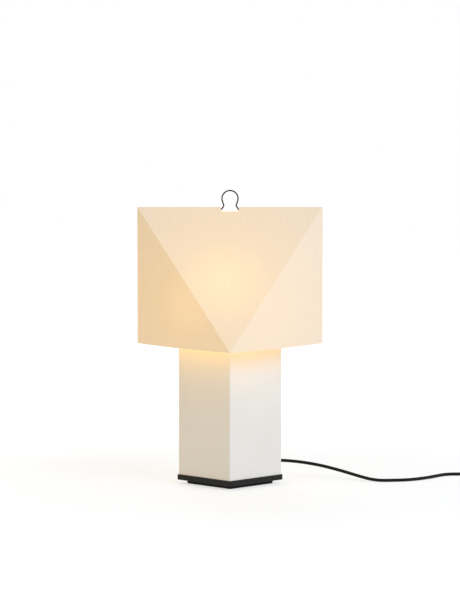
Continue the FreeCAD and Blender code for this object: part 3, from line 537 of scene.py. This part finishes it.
# %% Powder coat on the column
material, tree, shader = new_finish("warm white powder coat", Roughness=0.5)
place = add(tree, "ShaderNodeTexCoord").outputs["Object"]
grain = add(tree, "ShaderNodeTexNoise", {"Vector": place, "Scale": per_mm(1.5), "Detail": 3})
cloud = add(tree, "ShaderNodeTexNoise", {"Vector": place, "Scale": per_mm(60), "Detail": 2})
column_light = colour("ece7df")
column_dark = colour("eae4dc")
tone = add(
    tree,
    "ShaderNodeValToRGB",
    {"Fac": cloud.outputs["Fac"]},
    stops=[(0.3, column_dark), (0.7, column_light)],
)
gloss = add(
    tree,
    "ShaderNodeMapRange",
    {"Value": grain.outputs["Fac"], "To Min": 0.44, "To Max": 0.58},
)
bump = add(
    tree,
    "ShaderNodeBump",
    {"Height": grain.outputs["Fac"], "Strength": 0.12, "Distance": 0.12 * mm},
)
tree.links.new(tone.outputs["Color"], shader.inputs["Base Color"])
tree.links.new(gloss.outputs["Result"], shader.inputs["Roughness"])
tree.links.new(bump.outputs["Normal"], shader.inputs["Normal"])
finishes["column_paint"] = material

# %% [markdown]
# The foot plate has the same kind of coat in black. Its fine texture breaks up most of what it would
# mirror, so it stays deep black in white surroundings, and the specular level is set low for that. The
# pad below it is moulded rubber: matt, with a pebbled face.

# %% Black powder coat and rubber
material, tree, shader = new_finish("black powder coat", Roughness=0.5, Specular_IOR_Level=0.2)
place = add(tree, "ShaderNodeTexCoord").outputs["Object"]
grain = add(tree, "ShaderNodeTexNoise", {"Vector": place, "Scale": per_mm(1.2), "Detail": 4})
tone = add(
    tree,
    "ShaderNodeValToRGB",
    {"Fac": grain.outputs["Fac"]},
    stops=[(0.3, colour("13110e")), (0.75, colour("1f1d19"))],
)
gloss = add(tree, "ShaderNodeMapRange", {"Value": grain.outputs["Fac"], "To Min": 0.42, "To Max": 0.58})
bump = add(
    tree,
    "ShaderNodeBump",
    {"Height": grain.outputs["Fac"], "Strength": 0.25, "Distance": 0.15 * mm},
)
tree.links.new(tone.outputs["Color"], shader.inputs["Base Color"])
tree.links.new(gloss.outputs["Result"], shader.inputs["Roughness"])
tree.links.new(bump.outputs["Normal"], shader.inputs["Normal"])
finishes["black_steel"] = material

material, tree, shader = new_finish("moulded black rubber", Roughness=0.85, Specular_IOR_Level=0.25)
place = add(tree, "ShaderNodeTexCoord").outputs["Object"]
pebbles = add(tree, "ShaderNodeTexVoronoi", {"Vector": place, "Scale": per_mm(1.4)})
# The colour follows the pebbles: lighter on their tops and darker in the dips between them, which is
# painted shade.
tone = add(
    tree,
    "ShaderNodeValToRGB",
    {"Fac": pebbles.outputs["Distance"]},
    stops=[(0.1, colour("1b1917")), (0.8, colour("100f0e"))],
)
bump = add(
    tree,
    "ShaderNodeBump",
    {"Height": pebbles.outputs["Distance"], "Strength": 0.5, "Distance": 0.2 * mm},
    invert=True,
)
tree.links.new(tone.outputs["Color"], shader.inputs["Base Color"])
tree.links.new(bump.outputs["Normal"], shader.inputs["Normal"])
finishes["foot_rubber"] = material

# %% [markdown]
# Metals have no colour of their own under the shine: a metallic surface takes its tint from the base
# colour, and its look from roughness. Zinc plating is dull and cloudy, with a trace of blue and yellow
# from its passivation. Brass is warm, and tarnishes in patches. Nickel plating is a little warmer than
# steel and has fine rolling or sliding marks. Each row holds the name, two colours, the size of the
# cloudy patches in millimetres, and the lowest and highest roughness.

# %% Plated steel and brass
mark_size = 2.0
mark_squeeze = (1, 1, 9)
plated = {
    "zinc_steel": ("zinc plated steel", "b9bec2", "cfcdc2", 3.0, 0.3, 0.5),
    "brass": ("bright brass", "b98f45", "dcb769", 2.2, 0.2, 0.38),
    "sleeve_nickel": ("nickel plated brass sleeve", "b5aa96", "cdc4b3", 4.0, 0.22, 0.36),
    "pin_metal": ("nickel plated pin", "bdb7ac", "d3cfc7", 2.5, 0.16, 0.3),
    "bulb_metal": ("rolled aluminium cap", "babbbb", "d6d6d4", 3.5, 0.24, 0.42),
}
for slot, (name, dark, light, patch, smooth, rough) in plated.items():
    material, tree, shader = new_finish(name, Metallic=1.0)
    place = add(tree, "ShaderNodeTexCoord").outputs["Object"]
    patches = add(tree, "ShaderNodeTexNoise", {"Vector": place, "Scale": per_mm(patch), "Detail": 3})
    streaked = add(tree, "ShaderNodeMapping", {"Vector": place, "Scale": mark_squeeze})
    marks = add(
        tree,
        "ShaderNodeTexNoise",
        {"Vector": streaked.outputs["Vector"], "Scale": per_mm(mark_size), "Detail": 4},
    )
    mark = marks.outputs["Fac"]
    tone = add(
        tree,
        "ShaderNodeValToRGB",
        {"Fac": patches.outputs["Fac"]},
        stops=[(0.35, colour(dark)), (0.65, colour(light))],
    )
    gloss = add(
        tree,
        "ShaderNodeMapRange",
        {"Value": mark, "From Min": 0.3, "From Max": 0.7, "To Min": smooth, "To Max": rough},
    )
    bump = add(tree, "ShaderNodeBump", {"Height": mark, "Strength": 0.1, "Distance": 0.04 * mm})
    tree.links.new(tone.outputs["Color"], shader.inputs["Base Color"])
    tree.links.new(gloss.outputs["Result"], shader.inputs["Roughness"])
    tree.links.new(bump.outputs["Normal"], shader.inputs["Normal"])
    finishes[slot] = material
print("plated finishes:", list(plated))

# %% [markdown]
# The clip is spring wire with a black coat. Wire is drawn through a die, which leaves it smooth with
# hair-fine marks, so its highlight is narrow and clean. The frame inside the shade has a thin white
# enamel, glossy, with a slightly wavy surface. Both are paint over metal, so they aren't metallic. Each
# row holds the name, two colours, the length and depth of the waves in millimetres with the roughness
# between them, the weight of a clear coat, and the specular level.

# %% Coated wire and enamelled tube
coats = {
    "clip_steel": ("black coated spring wire", "080808", "121211", 1.0, 0.38, 0.05, 0.0, 0.2),
    "frame_steel": ("thin white enamel", "d9d4ca", "e4e0d8", 9.0, 0.24, 0.15, 0.3, 0.5),
}
for slot, (name, dark, light, wave, rough, depth, coat, level) in coats.items():
    material, tree, shader = new_finish(name, Roughness=rough, Specular_IOR_Level=level)
    shader.inputs["Coat Weight"].default_value = coat
    shader.inputs["Coat Roughness"].default_value = 0.12
    place = add(tree, "ShaderNodeTexCoord").outputs["Object"]
    waves = add(tree, "ShaderNodeTexNoise", {"Vector": place, "Scale": per_mm(wave), "Detail": 2})
    tone = add(
        tree,
        "ShaderNodeValToRGB",
        {"Fac": waves.outputs["Fac"]},
        stops=[(0.3, colour(dark)), (0.7, colour(light))],
    )
    bump = add(
        tree,
        "ShaderNodeBump",
        {"Height": waves.outputs["Fac"], "Strength": 0.15, "Distance": depth * mm},
    )
    tree.links.new(tone.outputs["Color"], shader.inputs["Base Color"])
    tree.links.new(bump.outputs["Normal"], shader.inputs["Normal"])
    finishes[slot] = material

# %% [markdown]
# The plastics differ in what they were moulded from and in the face of the mould. The switch and the
# plug are black ABS with a spark-eroded face, which has a fine, even grain. The lampholder is white
# polyester, nearly smooth. The tips of the spreader are soft silicone, which lets a little light in.
# The grains are about 0.1 mm and are drawn at 0.6 mm or more. Each row holds the name, two colours, the
# size of the grain in millimetres, the lowest and highest roughness, and the strength of the bump. The
# last number is the specular level, low for the black so that it stays black in white surroundings.

# %% Moulded plastics and silicone
flow_size = 14
mouldings = {
    "black_plastic": ("black moulded ABS", "0e0e0e", "171716", 0.6, 0.42, 0.56, 0.3, 0.2),
    "holder_plastic": ("white moulded polyester", "d8d3c8", "e2ded5", 0.9, 0.32, 0.44, 0.08, 0.5),
    "tip_rubber": ("off-white silicone", "cfc9bb", "ddd8cc", 1.2, 0.5, 0.7, 0.2, 0.5),
}
for slot, (name, dark, light, grit, smooth, rough, strength, level) in mouldings.items():
    soft = 0.15 if slot == "tip_rubber" else 0.0
    material, tree, shader = new_finish(
        name,
        Subsurface_Weight=soft,
        Subsurface_Scale=1.5 * mm,
        Specular_IOR_Level=level,
    )
    place = add(tree, "ShaderNodeTexCoord").outputs["Object"]
    pits = add(
        tree,
        "ShaderNodeTexVoronoi",
        {"Vector": place, "Scale": per_mm(grit)},
        feature="SMOOTH_F1",
    )
    pit = pits.outputs["Distance"]
    flow = add(tree, "ShaderNodeTexNoise", {"Vector": place, "Scale": per_mm(flow_size), "Detail": 2})
    tone = add(
        tree,
        "ShaderNodeValToRGB",
        {"Fac": flow.outputs["Fac"]},
        stops=[(0.3, colour(dark)), (0.7, colour(light))],
    )
    gloss = add(tree, "ShaderNodeMapRange", {"Value": pit, "To Min": smooth, "To Max": rough})
    bump = add(tree, "ShaderNodeBump", {"Height": pit, "Strength": strength, "Distance": 0.1 * mm})
    tree.links.new(tone.outputs["Color"], shader.inputs["Base Color"])
    tree.links.new(gloss.outputs["Result"], shader.inputs["Roughness"])
    tree.links.new(bump.outputs["Normal"], shader.inputs["Normal"])
    finishes[slot] = material

# %% [markdown]
# The insert of the lampholder is glazed porcelain: a clear, glossy glaze over a white body with a few
# fine specks. The insulator of the bulb's cap is black glass, poured hot, and so smooth and wavy.

# %% Porcelain and black glass
material, tree, shader = new_finish(
    "glazed porcelain",
    Roughness=0.3,
    Coat_Weight=0.8,
    Coat_Roughness=0.06,
)
place = add(tree, "ShaderNodeTexCoord").outputs["Object"]
specks = add(tree, "ShaderNodeTexNoise", {"Vector": place, "Scale": per_mm(0.9), "Detail": 2})
tone = add(
    tree,
    "ShaderNodeValToRGB",
    {"Fac": specks.outputs["Fac"]},
    stops=[(0.26, colour("b9ae9c")), (0.36, colour("e6e2d9"))],
)
tree.links.new(tone.outputs["Color"], shader.inputs["Base Color"])
finishes["ceramic"] = material

material, tree, shader = new_finish("black glass", Roughness=0.1)
place = add(tree, "ShaderNodeTexCoord").outputs["Object"]
swirl = add(
    tree,
    "ShaderNodeTexNoise",
    {"Vector": place, "Scale": per_mm(3), "Detail": 3, "Distortion": 1.5},
)
tone = add(
    tree,
    "ShaderNodeValToRGB",
    {"Fac": swirl.outputs["Fac"]},
    stops=[(0.35, colour("0b090d")), (0.7, colour("1a1420"))],
)
bump = add(
    tree,
    "ShaderNodeBump",
    {"Height": swirl.outputs["Fac"], "Strength": 0.2, "Distance": 0.1 * mm},
)
tree.links.new(tone.outputs["Color"], shader.inputs["Base Color"])
tree.links.new(bump.outputs["Normal"], shader.inputs["Normal"])
finishes["bulb_black"] = material

# %% [markdown]
# The bulb is on. Its opal glass scatters the light of the filaments, so the globe glows all over, most
# round the middle where they are. A colour that falls off with the distance from there, given to
# Emission, does that without any light object. The studio already lights the globe, so the glow only
# adds what is missing up to white, or the globe would vanish against a white background. The stem
# inside is clear glass, and the filaments are strips coated with a yellow phosphor, in which the chips
# show as brighter bands.

# %% Glowing bulb
globe_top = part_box("bulb_globe")[1].z
globe_radius = 30 * mm
glow_centre = Vector((0, 0, globe_top - globe_radius))
material, tree, shader = new_finish("opal glass", Roughness=0.12, Emission_Strength=1.0)
place = add(tree, "ShaderNodeTexCoord").outputs["Object"]
haze = add(tree, "ShaderNodeTexNoise", {"Vector": place, "Scale": per_mm(18), "Detail": 2})
tone = add(
    tree,
    "ShaderNodeValToRGB",
    {"Fac": haze.outputs["Fac"]},
    stops=[(0.3, colour("d9d0bf")), (0.7, colour("e2dacb"))],
)
away = add(tree, "ShaderNodeVectorMath", {0: place, 1: glow_centre}, operation="DISTANCE")
glow = add(
    tree,
    "ShaderNodeMapRange",
    {"Value": away.outputs["Value"], "From Min": 28 * mm, "From Max": 80 * mm},
)
light = add(
    tree,
    "ShaderNodeValToRGB",
    {"Fac": glow.outputs["Result"]},
    stops=[(0.0, colour("a4825a")), (0.35, colour("956d3a")), (1.0, colour("5c4020"))],
)
tree.links.new(tone.outputs["Color"], shader.inputs["Base Color"])
tree.links.new(light.outputs["Color"], shader.inputs["Emission Color"])
finishes["bulb_opal"] = material

material, tree, shader = new_finish("clear glass", Roughness=0.02, Transmission_Weight=1.0, IOR=1.5)
place = add(tree, "ShaderNodeTexCoord").outputs["Object"]
ripple = add(tree, "ShaderNodeTexNoise", {"Vector": place, "Scale": per_mm(5), "Detail": 1})
tone = add(
    tree,
    "ShaderNodeValToRGB",
    {"Fac": ripple.outputs["Fac"]},
    stops=[(0.3, colour("e3ebe6")), (0.7, colour("f2f6f3"))],
)
bump = add(
    tree,
    "ShaderNodeBump",
    {"Height": ripple.outputs["Fac"], "Strength": 0.1, "Distance": 0.2 * mm},
)
tree.links.new(tone.outputs["Color"], shader.inputs["Base Color"])
tree.links.new(bump.outputs["Normal"], shader.inputs["Normal"])
finishes["bulb_clear"] = material

material, tree, shader = new_finish("phosphor coated filament", Roughness=0.6, Emission_Strength=1.6)
place = add(tree, "ShaderNodeTexCoord").outputs["Object"]
# This texture makes a band every 2 pi / 20 of its scaled coordinate, so here every 12.6 mm. The chips
# of a real filament are about 1 mm apart, but no view shows them through the opal globe.
chips = add(
    tree,
    "ShaderNodeTexWave",
    {"Vector": place, "Scale": per_mm(2.0) / 20, "Distortion": 0.3},
    bands_direction="Z",
)
tone = add(
    tree,
    "ShaderNodeValToRGB",
    {"Fac": chips.outputs["Fac"]},
    stops=[(0.2, colour("c99a35")), (0.8, colour("f3cf63"))],
)
tree.links.new(tone.outputs["Color"], shader.inputs["Base Color"])
tree.links.new(tone.outputs["Color"], shader.inputs["Emission Color"])
finishes["filament"] = material

# %% [markdown]
# A textile cord is a round cable in a sleeve of braided yarn. Two sets of yarns wind round it in
# opposite ways and pass over and under each other, which makes a pattern of small slanting cells. The
# tube's own UV map has millimetres along the cord and turns round it. Adding and subtracting the two
# gives the two slants: a checker of them says which yarn is on top, and a sine rounds each yarn. A real
# cell is about 0.8 mm long. Here it is 2.4 mm, so that it shows in a close view.

# %% Braided cord
cell_length = 2.4
yarns_round = 6
material, tree, shader = new_finish("braided black yarn", Roughness=0.85, Specular_IOR_Level=0.2)
shader.inputs["Sheen Weight"].default_value = 0.06
shader.inputs["Sheen Roughness"].default_value = 0.4
braid = add(tree, "ShaderNodeUVMap", uv_map="braid")
split = add(tree, "ShaderNodeSeparateXYZ", {0: braid.outputs["UV"]})
along = add(tree, "ShaderNodeMath", {0: split.outputs["X"], 1: cell_length}, operation="DIVIDE")
around = add(tree, "ShaderNodeMath", {0: split.outputs["Y"], 1: yarns_round}, operation="MULTIPLY")
both = {0: along.outputs[0], 1: around.outputs[0]}
one_way = add(tree, "ShaderNodeMath", both, operation="ADD")
other_way = add(tree, "ShaderNodeMath", both, operation="SUBTRACT")
crossing = add(tree, "ShaderNodeCombineXYZ", {0: one_way.outputs[0], 1: other_way.outputs[0], 2: 0.5})
on_top = add(tree, "ShaderNodeTexChecker", {"Vector": crossing.outputs[0], "Scale": 1})
heights = []
for way in (one_way, other_way):
    angle = add(tree, "ShaderNodeMath", {0: way.outputs[0], 1: math.pi}, operation="MULTIPLY")
    wave = add(tree, "ShaderNodeMath", {0: angle.outputs[0]}, operation="SINE")
    heights.append(add(tree, "ShaderNodeMath", {0: wave.outputs[0]}, operation="ABSOLUTE").outputs[0])
height = add(tree, "ShaderNodeMix", {0: on_top.outputs["Fac"], 2: heights[0], 3: heights[1]})
# The colour follows the same height: darker where the yarns dip into the gaps, which is painted shade,
# and lighter on their crests, which is painted highlight.
tone = add(
    tree,
    "ShaderNodeValToRGB",
    {"Fac": height.outputs[0]},
    stops=[(0.1, colour("080807")), (0.9, colour("1b1916"))],
)
bump = add(
    tree,
    "ShaderNodeBump",
    {"Height": height.outputs[0], "Strength": 0.6, "Distance": 0.25 * mm},
)
tree.links.new(tone.outputs["Color"], shader.inputs["Base Color"])
tree.links.new(bump.outputs["Normal"], shader.inputs["Normal"])
finishes["cord_textile"] = material

# %% [markdown]
# Inside the column the braid ends and the cable goes on in its plain sheath, a soft grey-black vinyl
# with a dull, slightly dusty surface.

# %% Vinyl sheath
material, tree, shader = new_finish("vinyl sheath", Roughness=0.6)
place = add(tree, "ShaderNodeTexCoord").outputs["Object"]
dust = add(tree, "ShaderNodeTexNoise", {"Vector": place, "Scale": per_mm(2.5), "Detail": 4})
tone = add(
    tree,
    "ShaderNodeValToRGB",
    {"Fac": dust.outputs["Fac"]},
    stops=[(0.35, colour("171717")), (0.7, colour("2b2a29"))],
)
tree.links.new(tone.outputs["Color"], shader.inputs["Base Color"])
vinyl_sheath = material

# %% [markdown]
# The paper is the finish that matters most. It is a thick, uncoated sheet, matt and slightly fibrous,
# and its long fibres run up and down, which shows as faint upright streaks. It has its own UV map, in
# millimetres across and up each panel, so that the streaks follow the sheet round its folds.

# %% Coordinates on the sheet
for piece in (shade, *flaps):
    sheet = piece.data
    layer = sheet.uv_layers.get("sheet") or sheet.uv_layers.new(name="sheet")
    sheet.uv_layers.active = layer
    for face in sheet.polygons:
        leaning = abs(face.normal.x) < 0.3
        if leaning:
            sideways = Vector((1, 0, 0))
            upwards = Vector((0, math.copysign(shade_half, -face.center.y), shade_height)).normalized()
        else:
            sideways = Vector((-face.normal.y, face.normal.x, 0)).normalized()
            upwards = Vector((0, 0, 1))
        for corner in face.loop_indices:
            place = sheet.vertices[sheet.loops[corner].vertex_index].co
            layer.data[corner].uv = (place.dot(sideways) / mm, place.dot(upwards) / mm)

# %% [markdown]
# The lamp is on, and the paper lets part of its light through. That glow is painted light: it is
# brightest where the bulb is nearest and fades with distance. It is painted as Emission that depends
# on the distance from a point inside the shade, a little in front of and left of its middle, on Object
# coordinates, so it stays with the sheet when the shade is lifted. The inside of the sheet is brighter
# and more yellow, and its painted glow lights the top of the column below it. Far from the bulb it is
# paler, so that the notch shows less yellow. Where a glued flap doubles the paper, less light comes
# through, which is painted as a dimmer band of glow at the seam, seen from outside. The streaks are
# 3 mm wide and 70 mm long, and soft specks of 9 mm are mixed in. Both are coarser than real fibres, so
# that they show. They mark the paper's colour, and also make its painted glow a little uneven.

# %% Paper, outside and inside
streak_scale = (1 / 3, 1 / 70, 1)
speck_scale = 1 / 9
speck_share = 0.4
paper_glow = Vector((-12 * mm, -30 * mm, 340 * mm))
glow_near, glow_far = 70 * mm, 230 * mm
paper_sides = {
    "outside": ("paper, outside", "cfc9bf", "d3cdc3", 1.04),
    "inside": ("paper, inside", "d8c9a4", "e0d2b0", 1.2),
}
glow_stops = {
    "outside": [(0.0, colour("bf903f")), (0.26, colour("a37b35")), (1.0, colour("8f6f3c"))],
    "inside": [(0.0, colour("ffdc6e")), (0.45, colour("ffcb5c")), (0.7, colour("8a7a5c"))],
}
flap_edge_x = shade_half - (sheet_thickness + seam_flap_width) / math.sqrt(2)
through_flap = {"outside": 0.8, "inside": 1.0}
for number, (side, (name, dark, light, strength)) in enumerate(paper_sides.items()):
    material, tree, shader = new_finish(name, Roughness=0.9, Emission_Strength=strength)
    on_sheet = add(tree, "ShaderNodeUVMap", uv_map="sheet").outputs["UV"]
    stretched = add(tree, "ShaderNodeMapping", {"Vector": on_sheet, "Scale": streak_scale}).outputs[0]
    streaks = add(tree, "ShaderNodeTexNoise", {"Vector": stretched, "Scale": 1, "Detail": 3})
    fibres = add(tree, "ShaderNodeTexNoise", {"Vector": on_sheet, "Scale": speck_scale, "Detail": 4})
    mottle = add(
        tree,
        "ShaderNodeMix",
        {0: speck_share, 2: streaks.outputs["Fac"], 3: fibres.outputs["Fac"]},
    )
    tone = add(
        tree,
        "ShaderNodeValToRGB",
        {"Fac": mottle.outputs[0]},
        stops=[(0.35, colour(dark)), (0.65, colour(light))],
    )
    place = add(tree, "ShaderNodeTexCoord").outputs["Object"]
    away = add(tree, "ShaderNodeVectorMath", {0: place, 1: paper_glow}, operation="DISTANCE")
    fade = add(
        tree,
        "ShaderNodeMapRange",
        {"Value": away.outputs["Value"], "From Min": glow_near, "From Max": glow_far},
    )
    glow = add(tree, "ShaderNodeValToRGB", {"Fac": fade.outputs["Result"]}, stops=glow_stops[side])
    # Painted light: the streaks and specks make the glow a little stronger and weaker from place to
    # place.
    glow_streaks = add(
        tree,
        "ShaderNodeMapRange",
        {"Value": mottle.outputs[0], "To Min": 0.965, "To Max": 1.035},
    )
    # Painted shade: where a glued flap doubles the paper, the glow is dimmer.
    x, y, _ = add(tree, "ShaderNodeSeparateXYZ", {0: place}).outputs
    out = add(tree, "ShaderNodeMath", {0: x}, operation="ABSOLUTE").outputs[0]
    over_flap = add(tree, "ShaderNodeMath", {0: out, 1: flap_edge_x}, operation="GREATER_THAN")
    behind = add(tree, "ShaderNodeMath", {0: y, 1: sheet_thickness}, operation="GREATER_THAN")
    both = {0: over_flap.outputs[0], 1: behind.outputs[0]}
    doubled = add(tree, "ShaderNodeMath", both, operation="MULTIPLY")
    dimmed = add(
        tree,
        "ShaderNodeMapRange",
        {"Value": doubled.outputs[0], "To Min": 1.0, "To Max": through_flap[side]},
    )
    both = {0: glow_streaks.outputs[0], 1: dimmed.outputs[0]}
    share = add(tree, "ShaderNodeMath", both, operation="MULTIPLY")
    lit = add(
        tree,
        "ShaderNodeVectorMath",
        {0: glow.outputs["Color"], "Scale": share.outputs[0]},
        operation="SCALE",
    )
    bump = add(
        tree,
        "ShaderNodeBump",
        {"Height": fibres.outputs["Fac"], "Strength": 0.15, "Distance": 0.2 * mm},
    )
    tree.links.new(tone.outputs["Color"], shader.inputs["Base Color"])
    tree.links.new(lit.outputs["Vector"], shader.inputs["Emission Color"])
    tree.links.new(bump.outputs["Normal"], shader.inputs["Normal"])
    shade.data.materials[number] = material
for flap in flaps:
    flap.data.materials.append(shade.data.materials[1])
print("paper materials:", [m.name for m in shade.data.materials])

# %% [markdown]
# The model names a finish for each of its pieces, so every piece that was carried over takes its
# material from that list.

# %% Dress every piece
for entry in frame["record"]["subparts"]:
    piece = nodes[entry["node"]]
    if entry["material_slot"] in finishes:
        piece.data.materials.clear()
        piece.data.materials.append(finishes[entry["material_slot"]])
nodes["inner_lead"].data.materials[0] = vinyl_sheath
cord.data.materials.append(finishes["cord_textile"])
print("finishes:", sorted(finishes))

# %% [markdown]
# The photograph was made in a white studio: soft light from all round, a large soft lamp high on the
# right, a white floor. The background has to be pure white while the lamp's own colours stay as they
# are written, so the white isn't made with more light. Rays from the camera, and those mirrored in
# metal or passing through glass, see the floor mixed with plain white: a bit over half of it near the
# lamp, and nothing but white further off. The share of the floor that is left keeps the lamp's shadow.
# That share is a little darker than white, so the white mixed in is a little stronger than 1, and the
# two together come out white. The floor's own colour is a cool white, which evens out the warm light
# from all round. The floor lies a hair below the foot, so that the two never share a plane. The
# surroundings are made in the same way: those rays see plain white there, and all others warm light.

# %% Floor
pure_white = (1, 1, 1, 1)
cool_white = (0.90, 0.93, 0.98, 1)
floor_drop = 0.05 * mm
shadow_middle = (0.1, 0, 0)
white_share_near, white_share_far = 0.58, 1.0
near, far = 0.25, 1.1
made_up_strength = 1.09


def seen_rays(tree):
    """1 for rays from the camera, mirrored rays and rays through glass, and 0 for all others."""
    rays = add(tree, "ShaderNodeLightPath").outputs
    seen = rays["Is Camera Ray"]
    for kind in ("Is Glossy Ray", "Is Transmission Ray"):
        seen = add(tree, "ShaderNodeMath", {0: seen, 1: rays[kind]}, operation="MAXIMUM").outputs[0]
    return seen


floor = add_primitive(
    bpy.ops.mesh.primitive_circle_add,
    "floor",
    vertices=96,
    radius=5,
    fill_type="NGON",
    location=(0, 0, -floor_drop),
)
material, tree, shader = new_finish("white studio floor", Roughness=0.7, Base_Color=cool_white)
place = add(tree, "ShaderNodeTexCoord").outputs["Object"]
spread = add(tree, "ShaderNodeVectorMath", {0: place, 1: shadow_middle}, operation="DISTANCE")
whiter = add(
    tree,
    "ShaderNodeMapRange",
    {
        "Value": spread.outputs["Value"],
        "From Min": near,
        "From Max": far,
        "To Min": white_share_near,
        "To Max": white_share_far,
    },
    interpolation_type="SMOOTHSTEP",
)
both = {0: seen_rays(tree), 1: whiter.outputs["Result"]}
share = add(tree, "ShaderNodeMath", both, operation="MULTIPLY")
white = add(tree, "ShaderNodeEmission", {"Color": pure_white, "Strength": made_up_strength})
mixed = add(
    tree,
    "ShaderNodeMixShader",
    {0: share.outputs[0], 1: shader.outputs["BSDF"], 2: white.outputs[0]},
)
tree.links.new(mixed.outputs[0], tree.nodes["Material Output"].inputs["Surface"])
floor.data.materials.append(material)

# %% White surroundings
warm_ambient = (1.0, 0.875, 0.67, 1)
ambient_strength = 0.72
world = bpy.data.worlds.new("studio")
world.use_nodes = True
bpy.context.scene.world = world
tree = world.node_tree
ambient = tree.nodes["Background"]
ambient.inputs["Color"].default_value = warm_ambient
ambient.inputs["Strength"].default_value = ambient_strength
white = add(tree, "ShaderNodeBackground", {"Color": pure_white, "Strength": 1})
mixed = add(
    tree,
    "ShaderNodeMixShader",
    {0: seen_rays(tree), 1: ambient.outputs[0], 2: white.outputs[0]},
)
tree.links.new(mixed.outputs[0], tree.nodes["World Output"].inputs["Surface"])

# %% [markdown]
# The light from all round is warm. The soft lamp on the right is cool, and the two together make the
# right side of the column a near neutral white and leave its left side warm, as in the photograph. A
# weak lamp behind keeps the back from looking dull. An area lamp of a given power lights a face at
# distance d with power / (pi d^2), and a white face that gets pi of that looks exactly white, which
# gives the power for a wanted brightness. Each row holds the place, size, brightness and linear tint.

# %% Studio lamps
lamps_aim = Vector((0, 0, 0.25))
lamps = {
    "right": (Vector((2.02, -2.02, 1.9)), 2.0, 0.45, (0.42, 0.655, 1.0)),
    "back": (Vector((-0.9, 2.7, 1.8)), 2.0, 0.14, (0.6, 0.8, 1.0)),
}
for name, (place, size, brightness, tint) in lamps.items():
    lamp = bpy.data.lights.new(name + " lamp", "AREA")
    lamp.shape = "DISK"
    lamp.size = size
    lamp.color = tint
    lamp.energy = brightness * math.pi**2 * place.length_squared
    holder = bpy.data.objects.new(name + "_lamp", lamp)
    holder.location = place
    holder.rotation_euler = (lamps_aim - place).to_track_quat("-Z", "Y").to_euler()
    bpy.context.scene.collection.objects.link(holder)
bpy.context.scene.view_settings.view_transform = "Standard"
print("lamps:", {name: round(bpy.data.lights[name + " lamp"].energy, 1) for name in lamps})
